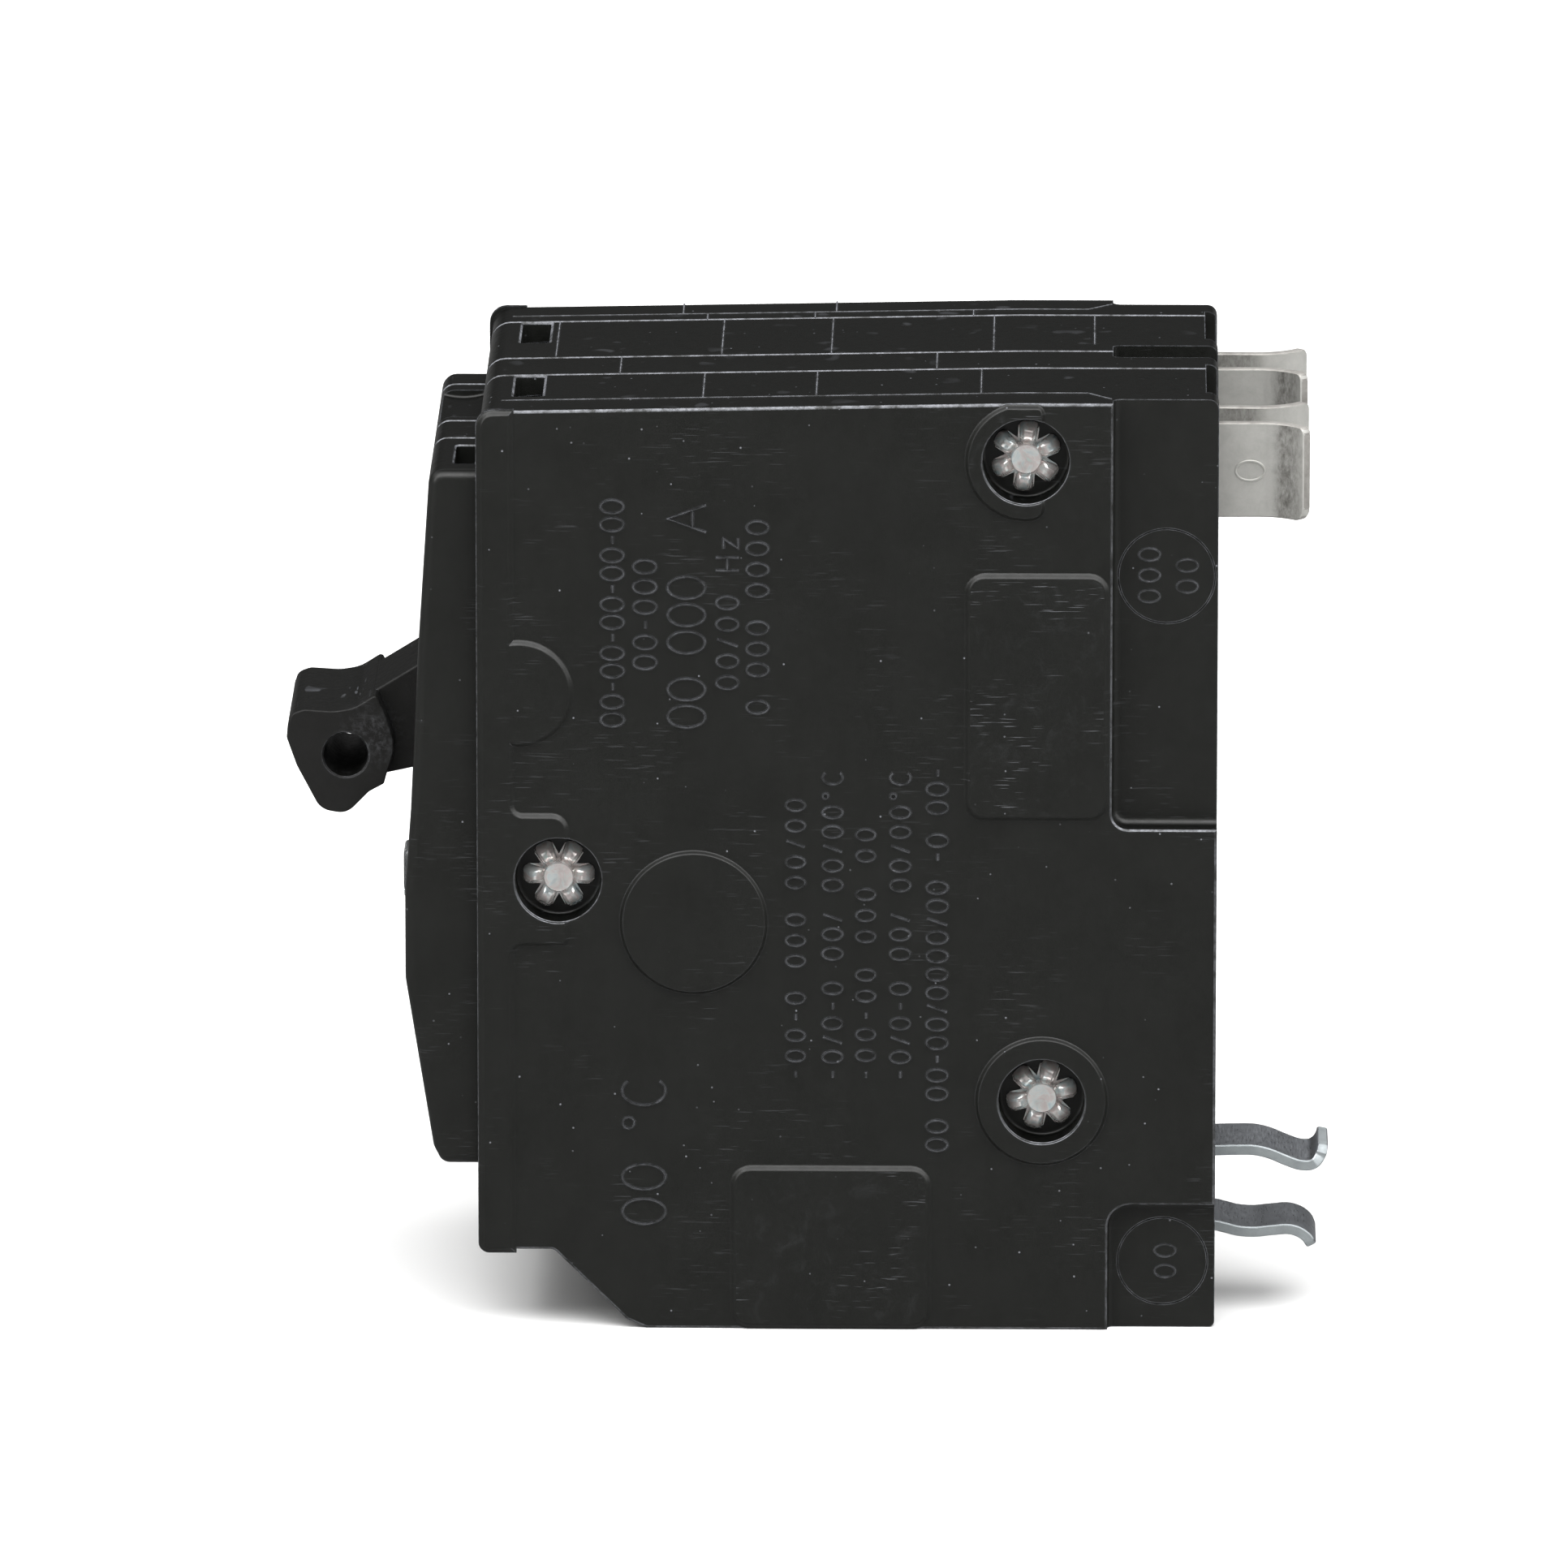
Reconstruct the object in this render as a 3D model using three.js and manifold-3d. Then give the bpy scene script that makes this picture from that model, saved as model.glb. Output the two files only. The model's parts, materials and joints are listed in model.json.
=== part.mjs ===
// Two-pole plug-on circuit breaker: moulded case, common handle, line jaws, rail clip and the
// trip mechanism inside. Millimetres. +X runs from the handle to the jaws, +Y across the poles,
// +Z from the load end, which it stands on, to the line end.
import * as THREE from 'three';
import { mergeVertices } from 'three/addons/utils/BufferGeometryUtils.js';
import Module from 'manifold-3d';

const wasm = await Module();
wasm.setup();

// ---------- driving dimensions ----------
const PITCH = 19.05; // pole to pole
const HEIGHT = 76.2; // load end to line end
const DEPTH = 58.7; // shoulder to back face
const GAP = 0.1; // seam between case mouldings
const WALL = 1.6;
const PAD = 0.35; // raised pads on the outer sides
const SIDE = PITCH - PAD; // plane of the main side panel
const COVER = 6.05; // thickness of a pole's cover shell
const NOSE_SIDE = 17.5; // half width of the raised nose
const RECESS = { x: 50.3, depth: 2.1, topFrom: 41.4, lowDepth: 1.4, lowTo: 10.4 };
const RIVETS = [[43.4, 71.5], [6.2, 37.1], [44.8, 19.0]];
const RIVET = { shank: 1.6, head: 2.8, headHeight: 1.4, bore: 3.45, boreDepth: 2.6, boss: 4.7 };
const PIVOT = [3.1, 49.9]; // handle axis
const BULGE = { centre: [3.1, 52.4], r: 4.2 }; // half disc that widens the side border
const HANDLE_OFF = 21; // degrees below level in the off position
const HANDLE_SLOT = { low: 42.1, high: 57.7, half: 5.4 };
const HEAD_HALF = 7.15; // half width of the handle's grip
const STEM_HALF = 4.9;
const DRUM = { r: 6.4, half: 6.2, play: 0.6 };
const CRANK = 8.5; // handle axis to contact arm pin
const ARM_CLOSE = 23.5; // degrees between open and closed contact arm
const ARM_CENTRE = [25.68, 49.9]; // the fixed point that each contact arm turns about
const JAW = { low: 65.6, high: 73.3, root: 50.9, tip: 65.8, half: 3.2, flare: 5.2, sheet: 0.8 };
const JAW_CHANNEL = { x: 57.7, low: 62, half: 4.95 }; // hollow around the jaw in the back face
const CLIP = { sheet: 0.85, width: 6.8 };
const WIRE_ENTRY = { x0: 10.1, x1: 17, half: 3.9 };
const VENT = { x0: 2.6, x1: 4.9, half: 4 };
const LENS = { low: 33.7, high: 37.6, half: 2, face: -6.4 };
const LUG = { x0: 8.2, x1: 18.4, z0: 6.9, z1: 17, wall: 1.6 };
const SCREW = { z: 10.1, head: 2.45, shank: 2.0 };
const TRIP_BAR = [17.5, 24];
const ARMATURE_FOOT = [23.5, 18];
const TRIP_LEVER_PIN = [41, 38];
const FLAG_PIN = [11, 28.3];
const PIN_PLAY = 0.1; // clearance of a pin in its hole
const THROUGH = 1; // how far a cutter runs past a face

const POLES = [
  { tag: 'a', y: -PITCH / 2 },
  { tag: 'b', y: PITCH / 2 },
];

// ---------- materials ----------
const finish = (color, roughness, metalness) => () =>
  new THREE.MeshStandardMaterial({ color, roughness, metalness });
const phenolic = finish(0x232420, 0.45, 0);
const handleBlack = finish(0x161716, 0.6, 0);
const tinned = finish(0xb9b7ae, 0.4, 0.9);
const zincSteel = finish(0xa9b0b4, 0.3, 0.9);
const rivetSteel = finish(0xc4c8c6, 0.2, 0.95);
const copper = finish(0xb0683f, 0.35, 0.9);
const silver = finish(0xd8d6cf, 0.3, 0.95);
const darkSteel = finish(0x55565a, 0.5, 0.8);
const springSteel = finish(0x8d9096, 0.3, 0.9);
const bimetalAlloy = finish(0x9a8a6a, 0.35, 0.9);
const lugMetal = finish(0xb5b6b4, 0.45, 0.9);
const clear = finish(0xd5dadb, 0.1, 0);
const flagRed = finish(0xb8231c, 0.5, 0);
const fibre = finish(0x6a5a48, 0.8, 0);

// ---------- shape helpers ----------
function toSolid(geometry) {
  geometry.deleteAttribute('normal');
  geometry.deleteAttribute('uv');
  const merged = mergeVertices(geometry, 1e-4);
  const mesh = new wasm.Mesh({
    numProp: 3,
    vertProperties: new Float32Array(merged.attributes.position.array),
    triVerts: new Uint32Array(merged.index.array),
  });
  return new wasm.Manifold(mesh);
}

function toGeometry(solid) {
  const data = solid.getMesh();
  const geometry = new THREE.BufferGeometry();
  geometry.setAttribute('position', new THREE.BufferAttribute(data.vertProperties, 3));
  geometry.setIndex(new THREE.BufferAttribute(data.triVerts, 1));
  geometry.computeVertexNormals();
  return geometry;
}

// Closed outline from [x, z, cornerRadius] points.
function outline(points) {
  const shape = new THREE.Shape();
  const corner = (i) => {
    const [x, z, r = 0] = points[i];
    const here = new THREE.Vector2(x, z);
    const before = points[(i + points.length - 1) % points.length];
    const after = points[(i + 1) % points.length];
    const back = new THREE.Vector2(before[0] - x, before[1] - z);
    const ahead = new THREE.Vector2(after[0] - x, after[1] - z);
    const reach = Math.min(r, 0.45 * back.length(), 0.45 * ahead.length());
    back.setLength(reach).add(here);
    ahead.setLength(reach).add(here);
    return { here, start: back, end: ahead, r };
  };
  points.forEach((_, i) => {
    const c = corner(i);
    if (i === 0) shape.moveTo(c.start.x, c.start.y);
    else shape.lineTo(c.start.x, c.start.y);
    if (c.r > 0) shape.quadraticCurveTo(c.here.x, c.here.y, c.end.x, c.end.y);
  });
  shape.closePath();
  return shape;
}

// Outline drawn in X and Z, extruded across the breaker from y0 to y1.
function prism(shape, y0, y1, curveSegments = 2) {
  const geometry = new THREE.ExtrudeGeometry(shape, {
    depth: y1 - y0, bevelEnabled: false, curveSegments,
  });
  geometry.rotateX(Math.PI / 2);
  geometry.translate(0, y1, 0);
  return toSolid(geometry);
}

function box(x0, x1, y0, y1, z0, z1) {
  const geometry = new THREE.BoxGeometry(x1 - x0, y1 - y0, z1 - z0);
  geometry.translate((x0 + x1) / 2, (y0 + y1) / 2, (z0 + z1) / 2);
  return toSolid(geometry);
}

function slab(x0, x1, z0, z1, r, y0, y1) {
  return prism(outline([[x0, z0, r], [x1, z0, r], [x1, z1, r], [x0, z1, r]]), y0, y1);
}

// Cylinder across the breaker.
function rod([x, z], r, y0, y1, sides = 24) {
  const geometry = new THREE.CylinderGeometry(r, r, y1 - y0, sides);
  geometry.translate(x, (y0 + y1) / 2, z);
  return toSolid(geometry);
}

// Cylinder along X.
function stud(x0, x1, y, z, r, sides = 24) {
  const geometry = new THREE.CylinderGeometry(r, r, x1 - x0, sides);
  geometry.rotateZ(Math.PI / 2);
  geometry.translate((x0 + x1) / 2, y, z);
  return toSolid(geometry);
}

// Upright cylinder.
function post(x, y, z0, z1, r, sides = 14) {
  const geometry = new THREE.CylinderGeometry(r, r, z1 - z0, sides);
  geometry.rotateX(Math.PI / 2);
  geometry.translate(x, y, (z0 + z1) / 2);
  return toSolid(geometry);
}

// Sheet strip: a middle line of [x, z] points, thickened and extruded from y0 to y1.
function strip(points, thickness, y0, y1) {
  const line = points.map(([x, z]) => new THREE.Vector2(x, z));
  const side = (sign) => line.map((p, i) => {
    const into = p.clone().sub(line[Math.max(i - 1, 0)]).normalize();
    const out = line[Math.min(i + 1, line.length - 1)].clone().sub(p).normalize();
    const along = into.clone().add(out).normalize();
    const turn = into.lengthSq() && out.lengthSq() ? Math.max(along.dot(out), 0.5) : 1;
    const shift = (sign * thickness) / 2 / turn;
    return [p.x - along.y * shift, p.y + along.x * shift];
  });
  return prism(outline([...side(-1), ...side(1).reverse()]), y0, y1);
}

function arc([cx, cz], r, from, to, steps) {
  return Array.from({ length: steps + 1 }, (_, i) => {
    const a = THREE.MathUtils.degToRad(from + ((to - from) * i) / steps);
    return [cx + r * Math.cos(a), cz + r * Math.sin(a)];
  });
}

// Round wire or braid along a curve, with closed ends.
function wire(curve, r, sides, steps) {
  const section = new THREE.Shape(
    Array.from({ length: sides }, (_, i) => {
      const a = (2 * Math.PI * i) / sides;
      return new THREE.Vector2(r * Math.cos(a), r * Math.sin(a));
    }),
  );
  const geometry = new THREE.ExtrudeGeometry(section, { extrudePath: curve, steps });
  return toSolid(geometry);
}

const join = (...solids) => solids.reduce((sum, solid) => sum.add(solid));
const cut = (body, ...solids) => solids.reduce((left, solid) => left.subtract(solid), body);

const breaker = new THREE.Group();

function place(name, solid, material, parent = breaker) {
  const mesh = new THREE.Mesh(toGeometry(solid), material());
  mesh.name = name;
  parent.add(mesh);
  return mesh;
}

// ---------- case mouldings ----------
const caseOutline = outline([
  [0, 6.5, 0.6], [5.75, 6.5, 0.6], [11.6, 0.7, 0.8], [13.2, 0, 0.6], [DEPTH, 0, 0.5],
  [DEPTH, HEIGHT, 0.8], [43, HEIGHT], [0, 75.4, 1.6],
]);
const noseOutline = outline([
  [0.5, 13.2], [-3.2, 13.2, 0.9], [-3.9, 14.6, 0.6], [-6.1, 28.5, 1.5], [-6.1, 35.7, 1.5],
  [-5.6, 42.4], [-4.95, 55.8, 2], [-4.0, 70.3, 1.2], [0.5, 70.3],
]);
const cavityOutline = outline([
  [WALL, 8.4], [6.4, 8.4], [12.6, 2.3], [14, 2.1], [48.2, 2.1], [48.2, 74.2], [10, 74.2],
  [WALL, 73.6], [WALL, 68.7], [-2.6, 68.7], [-3.4, 55.7], [-4.1, 42.4], [-4.6, 35.6],
  [-4.6, 28.6], [-2.5, 15], [WALL, 15],
]);

function cavity(pole) {
  const reach = PITCH / 2 - WALL;
  const back = PITCH / 2 - RECESS.depth - 1.4;
  const hollow = join(
    prism(cavityOutline, pole.y - reach, pole.y + reach),
    box(48.1, 56.2, pole.y - back, pole.y + back, 5, 74.2),
  );
  const bosses = RIVETS.map((at) => rod(at, RIVET.boss, pole.y - 10, pole.y + 10, 20));
  const inside = NOSE_SIDE - WALL; // the nose is narrower than the case, so its walls lie further in
  const cheeks = [[-PITCH, -inside], [inside, PITCH]].map(([y0, y1]) => box(-8, WALL, y0, y1, 0, HEIGHT));
  return cut(hollow, ...bosses, ...cheeks);
}

function openings() {
  const cuts = [];
  RIVETS.forEach((at) => {
    cuts.push(rod(at, RIVET.shank + PIN_PLAY * 1.5, -PITCH, PITCH, 16));
    [-1, 1].forEach((side) => {
      const floor = side * (PITCH - RIVET.boreDepth);
      const rim = side * (PITCH + THROUGH);
      cuts.push(rod(at, RIVET.bore, Math.min(floor, rim), Math.max(floor, rim)));
    });
  });
  const { x, depth, topFrom, lowDepth, lowTo } = RECESS;
  const far = PITCH + THROUGH;
  [[-far, -PITCH + depth], [-depth, depth], [PITCH - depth, far]].forEach(([y0, y1]) =>
    cuts.push(slab(x, DEPTH + 2, topFrom, HEIGHT + 2, 0.8, y0, y1)));
  [[-far, -PITCH + lowDepth], [-lowDepth, lowDepth], [PITCH - lowDepth, far]].forEach(([y0, y1]) =>
    cuts.push(slab(x, DEPTH + 2, -2, lowTo, 0.8, y0, y1)));
  // handle drum, its pin, the handle slot, the trip bar
  cuts.push(rod(PIVOT, DRUM.r + DRUM.play, -DRUM.half - DRUM.play, DRUM.half + DRUM.play));
  cuts.push(rod(PIVOT, 1.3, -18.2, 18.2, 16));
  cuts.push(slab(-8, 3, HANDLE_SLOT.low, HANDLE_SLOT.high, 0.4, -HANDLE_SLOT.half, HANDLE_SLOT.half));
  cuts.push(rod(TRIP_BAR, 1.95, -18.1, 18.1, 16));
  const back = DEPTH + THROUGH;
  const top = HEIGHT + THROUGH;
  const slot = JAW.half + 0.5;
  POLES.forEach(({ y }) => {
    cuts.push(box(56, back, y - slot, y + slot, JAW.low - 0.5, JAW.high + 0.5)); // jaw slot
    cuts.push(box(JAW_CHANNEL.x, back, y - JAW_CHANNEL.half, y + JAW_CHANNEL.half, JAW_CHANNEL.low, top));
    cuts.push(box(WIRE_ENTRY.x0, WIRE_ENTRY.x1, y - WIRE_ENTRY.half, y + WIRE_ENTRY.half, -THROUGH, 7.2));
    cuts.push(stud(-THROUGH, LUG.x0, y, SCREW.z, SCREW.head + 0.3, 20)); // screwdriver access
    cuts.push(box(VENT.x0, VENT.x1, y - VENT.half, y + PITCH / 2 - COVER - GAP / 2, 72, top));
  });
  cuts.push(box(-2.1, -0.45, -15, -8.5, 68, 71)); // nose vent
  const scallop = rod([-2.2, 75.2], 5.6, 1.4, 10.9, 32);
  cuts.push(scallop.intersect(box(-6, -0.05, 1, 11, 68, 76))); // scallop in the nose top
  cuts.push(box(56, back, -13.1, -5.9, 6.1, 14.3)); // rail clip slot
  const window = LENS.half + PIN_PLAY;
  cuts.push(box(-7, -3.5, POLES[0].y - window, POLES[0].y + window,
    LENS.low - PIN_PLAY, LENS.high + PIN_PLAY)); // lens window
  return cuts;
}

// Raised border and pads on an outer side, which lies between y0 and y1.
function sidePads(y0, y1) {
  const border = outline([
    [0, 6.5, 0.6], [2.5, 6.5], [2.5, 31.8, 0.8], [6.6, 31.8], [6.6, 42.4, 1.2], [2.5, 42.4, 0.6],
    [2.5, 75.3], [0, 75.3, 1.2],
  ]);
  return [
    prism(border, y0, y1),
    rod(BULGE.centre, BULGE.r, y0, y1, 20).intersect(box(1, 8, y0, y1, 47, 57)),
    rod([17, 33.65], 5.8, y0, y1, 28),
    slab(38.75, 49.9, 42.3, 62.2, 1.4, y0, y1),
    slab(20.1, 35.8, 0.2, 13.4, 1.4, y0, y1),
    rod(RIVETS[0], 4.6, y0, y1),
    rod(RIVETS[2], 5.2, y0, y1),
  ];
}

const shells = [
  { name: 'pole_a_base', pole: 0, y0: -SIDE, y1: -COVER - GAP / 2, pads: [-PITCH, -SIDE + 0.1] },
  { name: 'pole_a_cover', pole: 0, y0: -COVER + GAP / 2, y1: -GAP / 2 },
  { name: 'pole_b_base', pole: 1, y0: GAP / 2, y1: PITCH - COVER - GAP / 2 },
  { name: 'pole_b_cover', pole: 1, y0: PITCH - COVER + GAP / 2, y1: SIDE, pads: [SIDE - 0.1, PITCH] },
];
const allCuts = openings();
shells.forEach(({ name, pole, y0, y1, pads }) => {
  const nose = prism(noseOutline, Math.max(y0, -NOSE_SIDE), Math.min(y1, NOSE_SIDE));
  const blank = join(prism(caseOutline, y0, y1), nose, ...(pads ? sidePads(...pads) : []));
  place(name, cut(blank, cavity(POLES[pole]), ...allCuts), phenolic);
});

// ---------- rivets, lens ----------
RIVETS.forEach(([x, z], i) => {
  const inner = PITCH - RIVET.boreDepth + 0.05;
  const outer = inner + RIVET.headHeight;
  const { shank, head } = RIVET;
  const profile = [[0, -outer], [head - 0.3, -outer], [head, -outer + 0.3], [head, -inner],
    [shank, -inner], [shank, inner], [head, inner], [head, outer - 0.3], [head - 0.3, outer],
    [0, outer]];
  const geometry = new THREE.LatheGeometry(profile.map(([r, y]) => new THREE.Vector2(r, y)), 16);
  geometry.translate(x, 0, z);
  place(`rivet_${['top', 'front', 'bottom'][i]}`, toSolid(geometry), rivetSteel);
});
place('trip_lens', slab(LENS.face, -4.9, LENS.low, LENS.high, 0.4,
  POLES[0].y - LENS.half, POLES[0].y + LENS.half), clear);

// ---------- handle: drawn in the off position ----------
const headOutline = outline([
  [-15.8, 48.1, 1.3], [-11.6, 47.9, 1], [-8.6, 49.35, 0.3], [-7.3, 46], [-7.9, 42.4, 0.3],
  [-11.1, 39.8, 0.6], [-12.4, 39.5, 1.2], [-14.1, 41.6], [-15.2, 43.8], [-15.9, 45.8, 0.5],
]);
const stemOutline = outline([
  [-9.5, 48.85], [-5.38, 51.4], [0, 54.65], [4, 49], [1, 44], [-5.85, 42.8], [-9, 42.1],
]);
const turned = (angle, r) => {
  const a = THREE.MathUtils.degToRad(angle);
  return [PIVOT[0] + r * Math.cos(a), PIVOT[1] + r * Math.sin(a)];
};
const armPin = turned(HANDLE_OFF, CRANK);
const handleBody = join(
  prism(headOutline, -HEAD_HALF, HEAD_HALF), prism(stemOutline, -STEM_HALF, STEM_HALF),
  rod(PIVOT, DRUM.r, -DRUM.half, DRUM.half), rod(PIVOT, 2.8, -12.6, 12.6, 16),
  ...POLES.flatMap(({ y }) => [
    strip([PIVOT, armPin], 3.6, y - 3, y - 1.9),
    rod(armPin, 1.8, y - 3, y - 1.9, 16),
    rod(armPin, 1.1, y - 2, y + 1.9, 16),
  ]),
);
place('handle', cut(handleBody, rod(PIVOT, 1.25, -13, 13), rod([-11.15, 44.4], 1.8, -8, 8)),
  handleBlack);
place('handle_pin', rod(PIVOT, 1.2, -18, 18), springSteel);

// ---------- trip indicator and common trip bar ----------
const flagY = POLES[0].y;
const flagPinRadius = 0.8;
const flagArm = strip([[-3.4, 30.0], [2, 29.0], FLAG_PIN], 1.3, flagY - 1.2, flagY + 1.2);
const flagPlate = slab(-4.1, -3.2, 29.2, 33.3, 0.2, flagY - 1.8, flagY + 1.8);
const flagEye = rod(FLAG_PIN, 1.7, flagY - 1.2, flagY + 1.2, 16);
place('trip_flag', cut(join(flagPlate, flagArm, flagEye),
  rod(FLAG_PIN, flagPinRadius + PIN_PLAY, flagY - 2, flagY + 2, 16)), flagRed);
place('flag_pin', rod(FLAG_PIN, flagPinRadius, -PITCH + WALL + 0.3, -WALL - 0.3, 16), springSteel);
const tripFinger = ({ y }) => join(
  box(16.7, 18.1, y - 3, y + 3, 24, 30.8),
  box(17, 22.6, y - 3, y + 3, 29.6, 30.8),
);
place('trip_bar', join(rod(TRIP_BAR, 1.8, -17.9, 17.9, 16), ...POLES.map(tripFinger)), fibre);

// ---------- rail clip: one sprung strip, two arms ----------
const clipLine = [
  [67.4, 14.7], [66.9, 12.9], [66.2, 12.25], [65.4, 12.25], [64.2, 12.65], [63, 13.15],
  [62, 13.4], [60.5, 13.4], [54.2, 13.3], ...arc([54.2, 10.15], 3.15, 110, 250, 6),
  [58.8, 7.1], [60.2, 6.75], [61.8, 6.6], [63.4, 6.72], [64.7, 6.85], [65.6, 6.55],
  [66.3, 6.0], [66.55, 5.45],
];
place('rail_clip', strip(clipLine, CLIP.sheet, POLES[0].y - CLIP.width / 2,
  POLES[0].y + CLIP.width / 2), zincSteel);

// ---------- per pole: current path and trip mechanism ----------
function lineJaw(y) {
  const { root, tip, half, flare, sheet, low, high } = JAW;
  const neck = half - 0.15;
  const plate = (sign) => [
    [root, sign * half], [root + 9, sign * half], [root + 11, sign * neck],
    [tip - 1.4, sign * (flare - 0.4)], [tip, sign * flare]];
  const inner = (sign) => [
    [tip, sign * (flare - sheet)], [tip - 1.7, sign * (flare - 0.45 - sheet)],
    [root + 11, sign * (neck - sheet)], [root + 9, sign * (half - sheet)],
    [root + sheet, sign * (half - sheet)]];
  const shape = outline([...plate(-1), ...inner(-1), ...inner(1).reverse(),
    ...plate(1).reverse()]);
  const geometry = new THREE.ExtrudeGeometry(shape, { depth: high - low, bevelEnabled: false });
  geometry.translate(0, y, low);
  return toSolid(geometry);
}

const strapLine = [[49.7, 73.2], [49.7, 60.4], [41, 60.4]];
const loadStrapLine = [[19.2, 15.5], [19.2, 7.9], [29.9, 7.9], [29.9, 14]];
const armLine = [[-14.65, -3.05], [9.35, 4.45], [14.35, 6.35], [20.35, 6.35]]; // contacts closed
const armSlot = [armLine[0], [-13.6, -2.72]]; // lets the handle's pin slide a little
const contactRest = [17.85, 7.3];
const leverPinRadius = 1.2;
const leverOutline = outline([
  [20, 35.6], [24, 35.6], [39, 35.9], [43, 36], [43, 40], [39, 40.2], [36, 38.1], [23.25, 38.1],
  [23.25, 41], [20, 41],
]);

function springCurve(x, y, z0, z1, r, turns) {
  const curve = new THREE.Curve();
  curve.getPoint = (t) => new THREE.Vector3(
    x + r * Math.cos(2 * Math.PI * turns * t), y + r * Math.sin(2 * Math.PI * turns * t),
    z0 + (z1 - z0) * t);
  return curve;
}

POLES.forEach(({ tag, y }) => {
  const named = (name) => `${name}_${tag}`;
  place(named('line_jaw'), lineJaw(y), tinned);
  place(named('line_strap'), strip(strapLine, 0.8, y - 2.6, y + 2.6), copper);
  place(named('fixed_contact'), post(43.6, y, 58.8, 59.95, 2.2), silver);

  // contact arm: drawn closed about its centre, then swung open
  const swing = new THREE.Group();
  swing.position.set(ARM_CENTRE[0], 0, ARM_CENTRE[1]);
  swing.rotation.y = THREE.MathUtils.degToRad(ARM_CLOSE);
  breaker.add(swing);
  const armBar = strip(armLine, 1.8, y - 1.6, y + 1.6);
  const armEyes = armSlot.map((at) => rod(at, 2.5, y - 1.6, y + 1.6, 16));
  const armHoles = armSlot.map((at) => rod(at, 1.4, y - 2, y + 2, 16));
  place(named('contact_arm'), cut(join(armBar, ...armEyes), ...armHoles), copper, swing);
  place(named('moving_contact'), post(contactRest[0], y, contactRest[1], contactRest[1] + 1.2, 2),
    silver, swing);

  place(named('trip_lever'), cut(prism(leverOutline, y - 0.8, y + 0.8),
    rod(TRIP_LEVER_PIN, leverPinRadius + PIN_PLAY, y - 1, y + 1, 20)), darkSteel);
  const inner = Math.sign(y) * (WALL + 0.3);
  const outer = Math.sign(y) * (PITCH - WALL - 0.3);
  place(named('trip_lever_pin'),
    rod(TRIP_LEVER_PIN, leverPinRadius, Math.min(inner, outer), Math.max(inner, outer), 20),
    springSteel);
  place(named('toggle_spring'), wire(springCurve(30, y, 38.8, 49.2, 1.6, 6), 0.35, 4, 42),
    springSteel);

  place(named('bimetal'), box(28, 29, y - 2.9, y + 2.9, 8.7, 34.5), bimetalAlloy);
  place(named('magnet_yoke'), cut(box(26.6, 31.4, y - 4.6, y + 4.6, 20, 31),
    box(26, 30.2, y - 3.6, y + 3.6, 19, 32)), darkSteel);
  place(named('armature'), cut(
    join(box(23, 24, y - 4.2, y + 4.2, 18, 43.6), rod(ARMATURE_FOOT, 0.8, y - 4.2, y + 4.2, 16)),
    box(22, 25, y - 1.7, y + 1.7, 33.5, 41.6)), darkSteel);
  place(named('load_strap'), strip(loadStrapLine, 1, y - 2.9, y + 2.9), copper);
  place(named('calibration_screw'), join(post(24, y, 2.5, 4.3, 1.9), post(24, y, 4.3, 7.2, 1.1)),
    springSteel);
  const braid = new THREE.CatmullRomCurve3([
    [30.1, 3.4, 32.6], [33.6, 3.6, 32.2], [36.4, 3.8, 36], [36.8, 3.8, 42], [37, 2.4, 46.6],
    [37, 1, 48.6]].map(([x, side, z]) => new THREE.Vector3(x, y + side, z)));
  place(named('flexible_braid'), wire(braid, 0.75, 6, 20), copper);

  const { x0, x1, z0, z1, wall } = LUG;
  place(named('terminal_lug'), cut(box(x0, x1, y - 5.2, y + 5.2, z0, z1),
    box(x0 + wall + 0.2, x1 - 1.2, y - 3.8, y + 3.8, z0 - 1, z1 + 1),
    stud(x0 - 1, x0 + wall + 1, y, SCREW.z, SCREW.shank + PIN_PLAY)), lugMetal);
  place(named('terminal_screw'), cut(
    join(stud(2, 5, y, SCREW.z, SCREW.head), stud(4.9, 10.6, y, SCREW.z, SCREW.shank)),
    box(1, 3.2, y - 3, y + 3, SCREW.z - 0.4, SCREW.z + 0.4)), zincSteel);
  place(named('pressure_plate'), box(10.9, 12, y - 3.3, y + 3.3, 7.4, 13.4), zincSteel);

  [46.6, 50, 53.4].forEach((z, i) => {
    const notch = outline([[48, -2.4], [53, -1], [53, 1], [48, 2.4]]);
    const wedge = new THREE.ExtrudeGeometry(notch, { depth: 2, bevelEnabled: false });
    wedge.translate(0, y, z - 0.6);
    place(`arc_plate_${i + 1}_${tag}`, cut(box(48.7, 55.8, y - 5.7, y + 5.7, z, z + 0.8),
      toSolid(wedge)), darkSteel);
  });
});

// ---------- origin: middle of the footprint, at the load end ----------
const whole = new THREE.Box3().setFromObject(breaker);
const middle = whole.getCenter(new THREE.Vector3());
breaker.position.set(-middle.x, -middle.y, -whole.min.z);
const part = new THREE.Group();
part.add(breaker);

export default part;
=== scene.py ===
"""Looks of a two-pole plug-on circuit breaker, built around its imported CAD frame.

Lengths are millimetres in the breaker's own drawing frame: X from the front shoulder (0) to the
back face, Y across the poles with the seam between them at 0, Z up from the load end. packed()
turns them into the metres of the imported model.
"""

import json
import math

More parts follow.
